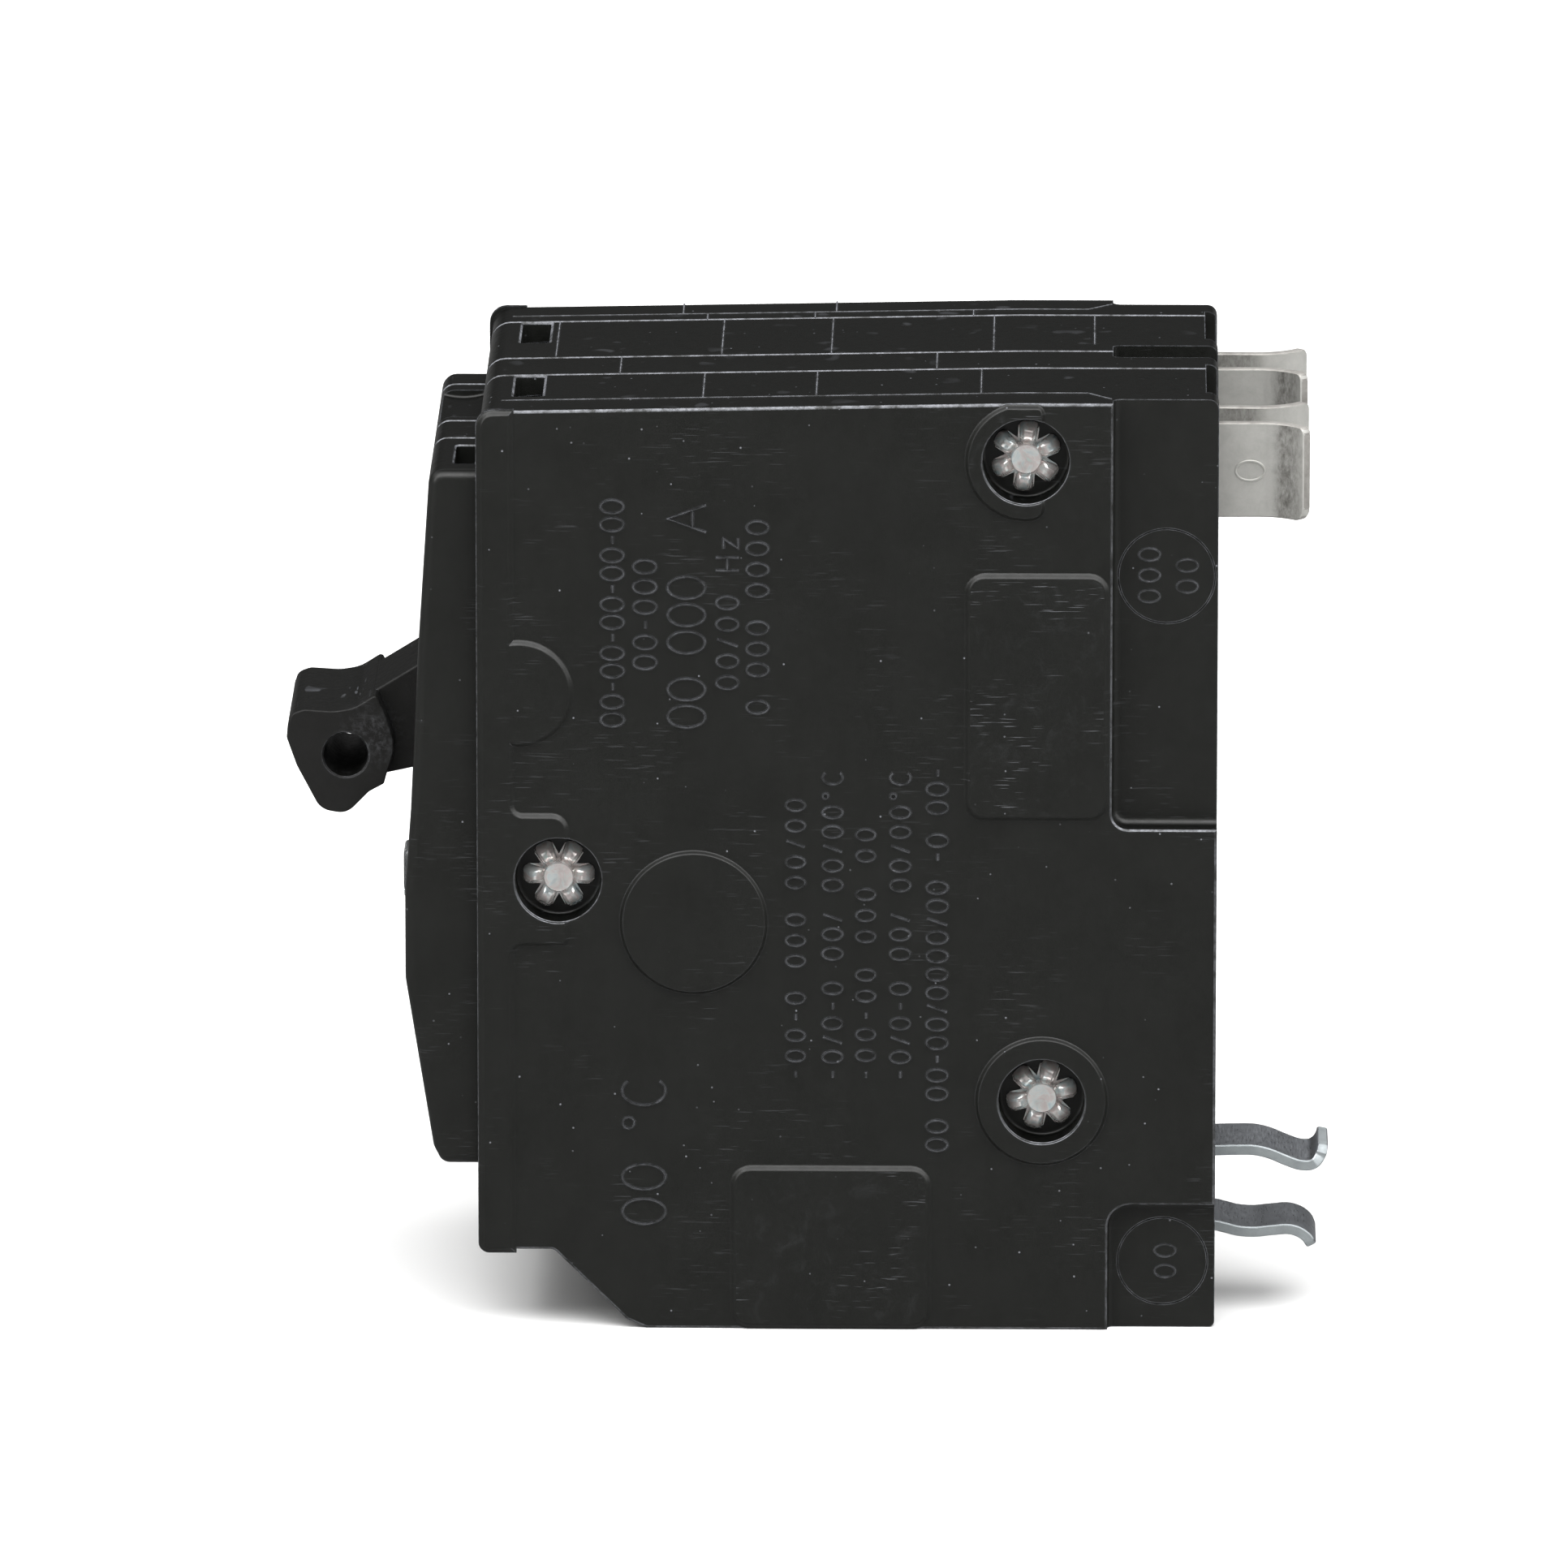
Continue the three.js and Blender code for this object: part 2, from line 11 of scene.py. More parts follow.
import bmesh
import bpy
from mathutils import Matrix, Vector


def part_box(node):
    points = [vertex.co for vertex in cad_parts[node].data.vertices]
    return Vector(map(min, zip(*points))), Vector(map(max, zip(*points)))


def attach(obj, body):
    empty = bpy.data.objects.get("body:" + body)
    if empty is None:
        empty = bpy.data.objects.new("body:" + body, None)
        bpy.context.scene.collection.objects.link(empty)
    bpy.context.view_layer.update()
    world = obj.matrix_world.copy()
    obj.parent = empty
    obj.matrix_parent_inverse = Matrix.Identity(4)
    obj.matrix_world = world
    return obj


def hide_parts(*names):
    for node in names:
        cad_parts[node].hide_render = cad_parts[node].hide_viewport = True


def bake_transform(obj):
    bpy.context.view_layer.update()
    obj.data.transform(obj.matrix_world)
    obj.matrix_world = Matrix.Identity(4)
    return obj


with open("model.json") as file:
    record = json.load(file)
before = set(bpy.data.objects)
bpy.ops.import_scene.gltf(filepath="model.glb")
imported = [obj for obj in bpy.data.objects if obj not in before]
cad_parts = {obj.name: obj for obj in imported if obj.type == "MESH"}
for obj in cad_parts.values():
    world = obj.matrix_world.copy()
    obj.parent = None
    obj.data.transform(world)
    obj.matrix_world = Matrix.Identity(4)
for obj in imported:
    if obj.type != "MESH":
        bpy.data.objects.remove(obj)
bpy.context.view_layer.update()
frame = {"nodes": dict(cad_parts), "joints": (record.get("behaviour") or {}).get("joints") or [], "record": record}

# ---------- sizes taken from the frame ----------
MM = 0.001
DEPTH = 58.7  # front shoulder to back face
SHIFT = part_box("pole_a_base")[1].x / MM - DEPTH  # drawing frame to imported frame, along X


def packed(x, y, z):
    """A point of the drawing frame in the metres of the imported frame."""
    return (x + SHIFT) * MM, y * MM, z * MM


def node_box(node):
    """Lowest and highest corner of a CAD node in the drawing frame."""
    low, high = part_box(node)
    shift = Vector((SHIFT, 0, 0))
    return low / MM - shift, high / MM - shift


def middle(node):
    low, high = node_box(node)
    return (low + high) / 2


def hinge_point(name):
    joint = next(j for j in frame["joints"] if j["name"] == name)
    x, _, z = joint["pos_m"]
    return x / MM - SHIFT, z / MM


HALF = node_box("pole_b_cover")[1].y  # half the breaker's width, over the pads
HEIGHT = node_box("pole_a_base")[1].z
PAD = 0.35  # height of the raised pads on the sides
SIDE = HALF - PAD  # plane of the main side panel
PITCH = HALF
POLE_Y = {"a": -PITCH / 2, "b": PITCH / 2}
SEAM = 13.0  # from a pole's outer side to the joint of its two mouldings
GAP = 0.004  # half the gap at a seam
RIM = 0.22  # worn rounding along moulded edges
NOSE_SIDE = 17.5
NOSE_FRONT = -6.1
NOSE_TOP = 70.3
RIVETS = {n: middle(n) for n in ("rivet_top", "rivet_front", "rivet_bottom")}
PIVOT = hinge_point("handle_turn")
JAW_LOW, JAW_HIGH = node_box("line_jaw_a")
BORE = 3.45  # counterbore around a rivet
BORE_FLOOR = HALF - 2.6
RECESS_FLOOR = HALF - 2.1
LOW_RECESS_FLOOR = HALF - 1.4
SHOULDER_Z = 75.4  # top edge above the front shoulder
TOP_SLOPE_END = 43.0  # where the top face levels out
BEYOND = 4.0  # how far an open-ended cutter runs past the case
CAVITY_BACK, CAVITY_TOP = 48.2, 74.2
BACK_WALL = 55.5  # where the openings of the back face reach the space inside
PANEL_RIM = 0.12  # chamfer of the small openings

# The edge slot holds chalky wear with a painted highlight on the mouldings, a darker tin as painted shade on the
# jaw's cut edges, and edge zinc on the rail clip.
PLAIN, EDGE_FINISH, SCUFFED = 0, 1, 2  # material slots of a moulding


# ---------- outlines ----------
def rounded(corners, step=15):
    """Closed outline from (u, v, radius) corners, anticlockwise, with true arcs of step degrees."""
    points = []
    count = len(corners)
    for i, corner in enumerate(corners):
        here = Vector(corner[:2])
        radius = corner[2] if len(corner) > 2 else 0
        back = Vector(corners[i - 1][:2]) - here
        ahead = Vector(corners[(i + 1) % count][:2]) - here
        opening = back.angle(ahead)
        if radius == 0 or abs(opening - math.pi) < 1e-4:
            points.append(here)
            continue
        reach = min(radius / math.tan(opening / 2), 0.45 * back.length, 0.45 * ahead.length)
        radius = reach * math.tan(opening / 2)
        start = here + back.normalized() * reach
        end = here + ahead.normalized() * reach
        inward = (back.normalized() + ahead.normalized()).normalized()
        centre = here + inward * radius / math.sin(opening / 2)
        turn = math.pi - opening
        steps = max(2, math.ceil(math.degrees(turn) / step))
        a0 = math.atan2(start.y - centre.y, start.x - centre.x)
        a1 = math.atan2(end.y - centre.y, end.x - centre.x)
        sweep = (a1 - a0 + math.pi) % (2 * math.pi) - math.pi
        for k in range(steps + 1):
            a = a0 + sweep * k / steps
            points.append(centre + radius * Vector((math.cos(a), math.sin(a))))
    return points


def rectangle(u0, u1, v0, v1, radius=0.0):
    return rounded([(u0, v0, radius), (u1, v0, radius), (u1, v1, radius), (u0, v1, radius)])


def circle(u, v, radius, sides=64):
    return [Vector((u + radius * math.cos(a), v + radius * math.sin(a)))
            for a in (2 * math.pi * k / sides for k in range(sides))]


def offset(outline, distance):
    """The outline moved outward by distance, or inward when negative, point by point."""
    moved = []
    count = len(outline)
    for i, here in enumerate(outline):
        before = (here - outline[i - 1]).normalized()
        after = (outline[(i + 1) % count] - here).normalized()
        n0, n1 = Vector((before.y, -before.x)), Vector((after.y, -after.x))
        moved.append(here + (n0 + n1) * distance / max(1 + n0.dot(n1), 0.3))
    return moved


# ---------- solids ----------
def loft(rings, edge_wear_and_highlight=(), caps=(PLAIN, PLAIN)):
    """Closed bmesh through rings of equally many points. The listed bands get the edge finish, chalky wear with a
    painted highlight on the mouldings.
    """
    mesh = bmesh.new()
    rows = [[mesh.verts.new(p) for p in ring] for ring in rings]
    count = len(rows[0])
    for band, (low, high) in enumerate(zip(rows, rows[1:])):
        for i in range(count):
            j = (i + 1) % count
            face = mesh.faces.new((low[i], low[j], high[j], high[i]))
            face.material_index = EDGE_FINISH if band in edge_wear_and_highlight else PLAIN
    for row, finish in zip((rows[0][::-1], rows[-1]), caps):
        mesh.faces.new(row).material_index = finish
    bmesh.ops.recalc_face_normals(mesh, faces=mesh.faces)
    return mesh


def to_object(mesh, name="solid"):
    data = bpy.data.meshes.new(name)
    mesh.to_mesh(data)
    mesh.free()
    for _ in (PLAIN, EDGE_FINISH, SCUFFED):
        data.materials.append(None)
    solid = bpy.data.objects.new(name, data)
    bpy.context.scene.collection.objects.link(solid)
    return solid


def along(axis, u, v, s):
    """Point with outline coordinates u, v and position s along the axis."""
    return {"X": (s, u, v), "Y": (u, s, v), "Z": (u, v, s)}[axis]


def stack(outline, axis, levels, caps=(PLAIN, PLAIN), lean=0.0):
    """Solid of one outline at (position, offset, edge-finish band after it) levels along an axis.

    lean shifts the positions with the outline's second coordinate.
    """
    rings, edge_wear_and_highlight = [], []
    for band, (position, grow, is_worn) in enumerate(levels):
        ring = offset(outline, grow) if grow else outline
        rings.append([along(axis, p.x, p.y, position + lean * p.y) for p in ring])
        if is_worn:
            edge_wear_and_highlight.append(band)
    return to_object(loft(rings, edge_wear_and_highlight, caps))


def prism(outline, axis, low, high):
    """Solid of one outline with sharp edges."""
    return stack(outline, axis, [(low, 0, False), (high, 0, False)])


def rim_levels(position, radius, inward, steps=3):
    """Levels of a quarter-round rim from the face at position, going inward (+1 or -1).

    Only tight rims get the edge finish, chalky wear with a painted highlight.
    """
    levels = []
    tight = radius <= RIM
    if not tight:
        steps *= 2
    for k in range(steps + 1):
        a = math.pi / 2 * k / steps
        levels.append((position + inward * radius * (1 - math.cos(a)), -radius * (1 - math.sin(a)),
                       tight and k < steps))
    return levels


def block(outline, axis, low, high, low_rim=RIM, high_rim=RIM, caps=(PLAIN, PLAIN)):
    """Prism with rounded rims at both ends."""
    start = rim_levels(low, low_rim, 1) if low_rim else [(low, 0, False)]
    end = rim_levels(high, high_rim, -1)[::-1] if high_rim else [(high, 0, False)]
    start[-1] = (*start[-1][:2], False)
    edge_wear_and_highlight = 0 < high_rim <= RIM
    end = [(p, g, edge_wear_and_highlight and k < len(end) - 1) for k, (p, g, _) in enumerate(end)]
    return stack(outline, axis, start + end, caps)


def mouth(outline, axis, floor, surface, flare=RIM, lean=0.0, floor_round=0.0, lip=0.0):
    """Cutter from floor out through surface, with a chamfered mouth in the edge finish, chalky wear with a painted
    highlight.

    A lip above the surface gets its own chamfer.
    """
    out = 1 if surface > floor else -1
    beyond = 1.5  # past the surface, widening at 45 degrees
    levels = rim_levels(floor, floor_round, out, 4) if floor_round else [(floor, 0, False)]
    levels = [(p, g, False) for p, g, _ in levels]
    levels.append((surface - out * flare, 0, True))
    grown = flare
    if lip:
        levels += [(surface, flare, False), (surface + out * (lip - flare), flare, True)]
        grown = 2 * flare
    levels.append((surface + out * (lip + beyond), grown + beyond, False))
    return stack(outline, axis, levels, lean=lean)


def pad(outline, side, height=PAD, width=0.55, top=SCUFFED):
    """Raised pad on an outer side panel, with a soft S-shaped rim. side is -1 or 1 along Y."""
    steps, root, sunk = 7, 0.4, 0.004  # root reaches into the case, the rim starts just under the panel
    levels = [(side * (SIDE - root), width / 2, False)]
    for k in range(steps + 1):
        t = k / steps
        rise = t * t * (3 - 2 * t)
        levels.append((side * (SIDE - sunk + (height + sunk) * rise), width * (0.5 - t), False))
    return stack(outline, "Y", levels, caps=(PLAIN, top))


def baked(solid):
    """Applies the modifiers of a solid in place."""
    graph = bpy.context.evaluated_depsgraph_get()
    data = bpy.data.meshes.new_from_object(solid.evaluated_get(graph))
    solid.modifiers.clear()
    solid.data = data
    return solid


def combine(solid, others, operation):
    """Unites or cuts a solid with others, which are used up."""
    for other in others:
        step = solid.modifiers.new("combine", "BOOLEAN")
        step.solver = "MANIFOLD"
        step.operation = operation
        step.object = other
    baked(solid)
    for other in others:
        bpy.data.objects.remove(other)
    return solid


def unite(solid, others):
    return combine(solid, others, "UNION")


def cut(solid, others):
    return combine(solid, others, "DIFFERENCE")


# ---------- strokes: thin raised or sunk lines ----------
def stroke(line, closed, width, low, high, plane):
    """Ridge of trapezoid section along a flat line. plane maps (u, v, height) to a point."""
    mesh = bmesh.new()
    count = len(line)
    rows = []
    for i, here in enumerate(line):
        before = here - line[i - 1] if closed or i else line[1] - here
        after = line[(i + 1) % count] - here if closed or i < count - 1 else here - line[i - 1]
        n0 = Vector((-before.y, before.x)).normalized()
        n1 = Vector((-after.y, after.x)).normalized()
        side = (n0 + n1) / max(1 + n0.dot(n1), 0.5)
        foot, crest = side * width * 0.5, side * width * 0.16
        rows.append([mesh.verts.new(plane(*p, h)) for p, h in (
            (here - foot, low), (here + foot, low), (here + crest, high), (here - crest, high))])
    pairs = list(zip(rows, rows[1:])) + ([(rows[-1], rows[0])] if closed else [])
    for row, following in pairs:
        for k in range(4):
            mesh.faces.new((row[k], row[(k + 1) % 4], following[(k + 1) % 4], following[k]))
    if not closed:
        mesh.faces.new(rows[0])
        mesh.faces.new(rows[-1][::-1])
    bmesh.ops.recalc_face_normals(mesh, faces=mesh.faces)
    return mesh


def joined(meshes):
    """One object of many separate closed meshes."""
    whole = bmesh.new()
    for mesh in meshes:
        piece = bpy.data.meshes.new("piece")
        mesh.to_mesh(piece)
        mesh.free()
        whole.from_mesh(piece)
        bpy.data.meshes.remove(piece)
    return to_object(whole)


def ellipse(u, v, ru, rv, start=0, end=360, steps=22):
    """Points of an elliptical arc; a full turn leaves out the repeated last point."""
    full = end - start >= 360
    return [Vector((u + ru * math.cos(a), v + rv * math.sin(a)))
            for a in (math.radians(start + (end - start) * k / steps)
                      for k in range(steps if full else steps + 1))]


def line(*points):
    return [Vector(p) for p in points]


ROOTED = 0.1  # how deep a raised line reaches into its ground

# Each character is its width and its strokes (line, closed) in a cell one unit high.
CHARACTERS = {
    "0": (0.62, [(ellipse(0.31, 0.5, 0.29, 0.48), True)]),
    "A": (0.74, [(line((0.02, 0), (0.37, 0.98), (0.72, 0)), False),
                 (line((0.12, 0.34), (0.62, 0.34)), False)]),
    "H": (0.66, [(line((0.04, 0), (0.04, 1)), False), (line((0.62, 0), (0.62, 1)), False),
                 (line((0.02, 0.5), (0.64, 0.5)), False)]),
    "z": (0.5, [(line((0.02, 0.66), (0.46, 0.66), (0.04, 0.02), (0.48, 0.02)), False)]),
    "C": (0.66, [(ellipse(0.36, 0.5, 0.33, 0.48, 48, 312), False)]),
    "o": (0.36, [(ellipse(0.16, 0.84, 0.13, 0.13, steps=10), True)]),
    "-": (0.42, [(line((0.06, 0.48), (0.36, 0.48)), False)]),
    "/": (0.36, [(line((0.02, 0.06), (0.34, 0.94)), False)]),
    " ": (0.42, []),
}


def lettering(text, height, start, baseline, length, plane, width=0.26, rise=0.12):
    """Stroke meshes for a row of characters that fills a length from start, in layers.

    Strokes of one layer never overlap. plane maps (u, v, height) to a point.
    """
    advance = sum(CHARACTERS[c][0] for c in text) * height
    space = (length - advance) / max(len(text) - 1, 1)
    layers = {}
    at = start
    for character in text:
        cell, strokes = CHARACTERS[character]
        for layer, (points, closed) in enumerate(strokes):
            placed = [Vector((at + p.x * height, baseline + p.y * height)) for p in points]
            layers.setdefault(layer, []).append(stroke(placed, closed, width, -ROOTED, rise, plane))
        at += cell * height + space
    return layers


def near_panel(u, v, height):
    """Reading direction up the near side panel, letter tops to the front."""
    return (-v, -(SIDE + height), u)


def far_panel(u, v, height):
    """Reading direction up the far side panel, letter tops to the back."""
    return (v, SIDE + height, u)


# ---------- case mouldings ----------
case_outline = rounded([
    (0, 6.5, 0.6), (5.75, 6.5, 0.6), (11.6, 0.7, 0.9), (13.2, 0, 0.6), (DEPTH, 0, 0.5),
    (DEPTH, HEIGHT, 0.8), (TOP_SLOPE_END, HEIGHT), (0, SHOULDER_Z, 1.6)])
nose_outline = rounded([
    (4, 13.2), (4, NOSE_TOP), (-4.0, NOSE_TOP, 1.2), (-4.95, 55.8, 8), (-5.6, 42.4), (NOSE_FRONT, 35.7, 4),
    (NOSE_FRONT, 28.5, 4), (-3.9, 14.6, 1.0), (-3.2, 13.2, 1.0)])
nose_blunt = 0.85  # rounding along the nose's outer edges
cavity_outline = rounded([
    (1.6, 8.4), (6.4, 8.4), (12.6, 2.3), (14, 2.1),
    (CAVITY_BACK, 2.1), (CAVITY_BACK, CAVITY_TOP), (10, CAVITY_TOP), (1.6, 73.6), (1.6, 68.7), (-2.6, 68.7),
    (-3.4, 55.7), (-4.1, 42.4), (-4.6, 35.6), (-4.6, 28.6), (-2.5, 15), (1.6, 15)])
side_border = rounded([
    (0, 6.5, 0.6), (2.5, 6.5), (2.5, 31.8, 0.9), (6.9, 31.8, 0.5), (6.9, 42.4, 1.2), (2.5, 42.4, 0.9),
    (2.5, 75.3), (0, 75.3, 1.4)])


def cavity(pole_y):
    """Space inside one pole, with the rivet bosses left standing."""
    wall, rear_wall, boss = 1.6, 3.5, 4.7
    reach = PITCH / 2 - wall
    back = PITCH / 2 - rear_wall
    space = prism(cavity_outline, "Y", pole_y - reach, pole_y + reach)
    rear = rectangle(pole_y - back, pole_y + back, 5, CAVITY_TOP)
    inside = NOSE_SIDE - wall
    cheeks = [prism(rectangle(-9, wall, 0, HEIGHT), "Y", low, high)
              for low, high in ((-PITCH, -inside), (inside, PITCH))]
    bosses = [prism(circle(at.x, at.z, boss, 32), "Y", pole_y - 10, pole_y + 10) for at in RIVETS.values()]
    return cut(unite(space, [prism(rear, "X", CAVITY_BACK - 0.1, BACK_WALL + 0.7)]), bosses + cheeks)


def rivet_bores():
    shank_bore = 1.75
    cuts = []
    for at in RIVETS.values():
        cuts.append(prism(circle(at.x, at.z, shank_bore, 32), "Y", -HALF, HALF))
        for side in (-1, 1):
            cuts.append(mouth(circle(at.x, at.z, BORE, 72), "Y", side * BORE_FLOOR, side * SIDE, 0.05,
                              floor_round=0.3, lip=PAD))
    return cuts


def recesses():
    """Hollows at the back of each side and the slots between the poles."""
    high = rectangle(50.3, DEPTH + BEYOND, 41.4, HEIGHT + BEYOND, 1.3)
    low = rectangle(50.1, DEPTH + BEYOND, -BEYOND, 10.4, 1.8)
    hollows = ((high, RECESS_FLOOR, 0.7, 0.5), (low, LOW_RECESS_FLOOR, 0.5, 0.4))
    cuts = [mouth(outline, "Y", side * floor, side * SIDE, 0.14, floor_round=side_round)
            for side in (-1, 1) for outline, floor, side_round, _ in hollows]
    for outline, floor, _, seam_round in hollows:
        depth = HALF - floor
        cuts.append(block(outline, "Y", -depth, depth, seam_round, seam_round))
    return cuts


def handle_space():
    """Room for the handle's drum and pin and for the trip bar, and the slot through the nose."""
    drum, pin, trip_bar = 7.0, 1.3, 1.95
    drum_reach, pin_reach, bar_reach = 6.8, 18.2, 18.1
    half_width, low, high = 5.4, 42.1, 57.7
    slot_front = -5.25
    nose_lean = -0.0485  # the nose front falls back as it rises
    slot = rectangle(-half_width, half_width, low, high, 1.0)
    return [
        prism(circle(*PIVOT, drum), "Y", -drum_reach, drum_reach),
        prism(circle(*PIVOT, pin, 32), "Y", -pin_reach, pin_reach),
        prism(circle(*hinge_point("trip_bar_turn"), trip_bar, 32), "Y", -bar_reach, bar_reach),
        mouth(slot, "X", 3, slot_front - nose_lean * (low + high) / 2, 0.25, lean=nose_lean),
    ]


def pole_openings(y):
    """Jaw slot, wire entry, screwdriver access and vent of one pole."""
    jaw_slot = rectangle(y - 3.7, y + 3.7, 65.1, 73.8, 0.4)
    channel = rectangle(y - 4.95, y + 4.95, 62, HEIGHT + BEYOND, 0.7)
    channel_floor = 57.7
    wire_entry = rectangle(10.1, 17, y - 3.9, y + 3.9, 0.8)
    screw_hole = circle(y, middle("terminal_screw_a").z, 2.75, 48)
    vent = rectangle(2.6, 4.9, y - 4, y + 3.42, 0.3)
    return [
        mouth(jaw_slot, "X", BACK_WALL, channel_floor, 0.15),
        mouth(channel, "X", channel_floor, DEPTH, 0.15),
        mouth(wire_entry, "Z", 7.2, 0.2, 0.2),
        mouth(screw_hole, "X", 8.2, 0, 0.3),
        mouth(vent, "Z", 69.8, 75.42, PANEL_RIM),
    ]


def odd_openings():
    """Openings that only one pole has: nose vent, nose scallop, rail clip slot and lens window."""
    nose_vent = rectangle(-2.1, -0.45, -15, -8.5, 0.3)
    centre, radius, front, back, top = (-2.2, 75.2), 5.6, -7.4, -0.1, 76
    scallop = [p for p in circle(*centre, radius, 96) if p.x < back and p.y < top]
    scallop += line((back, top), (front, top))
    inside = (centre[0], 73)
    scallop.sort(key=lambda p: math.atan2(p.y - inside[1], p.x - inside[0]))
    clip_slot = rectangle(-13.1, -5.9, 6.1, 14.3, 0.5)
    lens_y, lens_half = middle("trip_lens").y, 2.1
    lens_window = rectangle(lens_y - lens_half, lens_y + lens_half, 33.6, 37.7, 0.2)
    return [
        mouth(nose_vent, "Z", 68, NOSE_TOP, PANEL_RIM),
        block(scallop, "Y", 1.3, 10.9, 0.3, 0.3),
        mouth(clip_slot, "X", BACK_WALL, DEPTH, 0.2),
        mouth(lens_window, "X", -3.5, NOSE_FRONT, PANEL_RIM),
    ]


def collar(centre, outer, inner, start, end):
    """Outline of a bent bar with round ends around a centre, kept clear of the top edge."""
    end_radius, mid_radius = (outer - inner) / 2, (outer + inner) / 2
    trim, clearance = 24, 0.25  # degrees left off a round end where it meets an arc; to the top edge

    def arc(radius, first, last, steps):
        return ellipse(centre.x, centre.z, radius, radius, first, last, steps)

    def round_end(at, facing):
        x = centre.x + mid_radius * math.cos(math.radians(at))
        z = centre.z + mid_radius * math.sin(math.radians(at))
        return ellipse(x, z, end_radius, end_radius, facing + trim, facing + 180 - trim, 8)

    outline = (arc(outer, start, end, 30) + round_end(end, end)
               + arc(inner, end, start, 20) + round_end(start, start - 180))
    return [Vector((p.x, min(p.y, HEIGHT - clearance))) for p in outline]


def side_pads(side):
    """Raised border, discs and rectangles of one outer side."""
    top, bottom = RIVETS["rivet_top"], RIVETS["rivet_bottom"]
    return [
        pad(side_border, side, top=PLAIN),
        pad(ellipse(PIVOT[0], 52.4, 4.2, 4.2, -120, 120, 48), side, top=PLAIN),
        pad(circle(17, 33.65, 5.8, 80), side, top=PLAIN, width=0.35),
        pad(rectangle(38.75, 49.9, 42.3, 62.2, 1.4), side),
        pad(rectangle(20.1, 35.8, 0.25, 13.4, 1.4), side),
        pad(collar(top, 4.72, 2.7, 84, 276), side, width=0.4),
        pad(circle(bottom.x, bottom.z, 5.2, 80), side, top=PLAIN, width=0.35),
    ]


def mould_rings():
    """Thin sunk circles where the mould's date inserts sat, in the two recesses of the near side."""
    line_width, depth = 0.16, 0.1
    cuts = []
    for x, z, radius, floor in ((54.6, 61.8, 3.85, RECESS_FLOOR), (54.5, 5.5, 3.6, LOW_RECESS_FLOOR)):
        def recess(u, v, height, floor=floor):
            return (u, -(floor + height), v)
        ring = stroke(ellipse(x, z, radius, radius, steps=72), True, line_width, 0.2, -depth, recess)
        cuts.append(joined([ring]))
    return cuts


# Rows of raised characters: text, cap height, start Z, baseline X, length along Z, and a recess's floor.
NEAR_ROWS = [
    ("00-00-00-00-00", 1.9, 49.7, 11.5, 18.6),
    ("00-000", 1.9, 54.4, 14.1, 9.0),
    ("00 000  A", 3.1, 49.6, 18.0, 18.3),
    ("00/00 Hz", 1.8, 52.8, 20.6, 12.4),
    ("0 000 0000", 1.8, 50.8, 23.0, 15.8),
    ("00 oC", 3.6, 8.6, 14.8, 12.2),
    ("-00-0 000 00/00", 1.55, 20.8, 25.9, 23.0),
    ("-0/0-0 00/ 00/00oC", 1.65, 20.8, 28.9, 25.3),
    ("-00-00 000 00", 1.55, 20.8, 31.5, 20.6),
    ("-0/0-0 00/ 00/00oC", 1.65, 20.8, 34.3, 25.3),
    ("00 00-00/0000/00 -0 00-", 1.75, 14.8, 37.3, 31.6),
]
RECESS_ROWS = [
    ("000", 1.75, 59.6, 54.1, 4.5, RECESS_FLOOR), ("00", 1.75, 60.4, 57.1, 2.8, RECESS_FLOOR),
    ("00", 1.75, 4.1, 55.6, 2.8, LOW_RECESS_FLOOR)]
FAR_ROWS = [("00 000  A", 3.1, 49.6, 13.0, 18.3), ("00/00 Hz", 1.8, 52.8, 20.0, 12.4)]


def raised_text(pole_side):
    """Stroke solids of one outer side, first strokes first so that none overlap in one solid."""
    layers = {}

    def gather(rows):
        for layer, meshes in rows.items():
            layers.setdefault(layer, []).extend(meshes)

    if pole_side < 0:
        for text, height, start, baseline, length in NEAR_ROWS:
            gather(lettering(text, height, start, -baseline, length, near_panel))
        for text, height, start, baseline, length, floor in RECESS_ROWS:
            def recess(u, v, rise, floor=floor):
                return (-v, -(floor + rise), u)
            gather(lettering(text, height, start, -baseline, length, recess, width=0.22, rise=0.09))
    else:
        for text, height, start, baseline, length in FAR_ROWS:
            gather(lettering(text, height, start, baseline, length, far_panel))
    return [joined(layers[k]) for k in sorted(layers)]


def top_height(x):
    return SHOULDER_Z + (HEIGHT - SHOULDER_Z) * min(max(x / TOP_SLOPE_END, 0), 1)


# Lines across the top left by the mould: X, and the two ends in Y.
FLASH = [
    (15.9, -19.0, -14.9), (28.5, -19.0, -14.9), (17.7, -14.9, -6.2), (26.7, -14.9, -6.2), (39.8, -14.9, -6.2),
    (10.9, -5.9, -0.2), (36.2, -5.9, -0.2), (5.6, 0.2, 12.9), (18.9, 0.2, 12.9), (27.7, 0.2, 12.9),
    (40.7, 0.2, 12.9), (48.8, 2.3, 12.9), (17.5, 13.1, 15.1), (26.2, 13.1, 15.1), (39.0, 13.1, 15.1),
    (15.5, 15.1, 19.0), (27.9, 15.1, 19.0)]


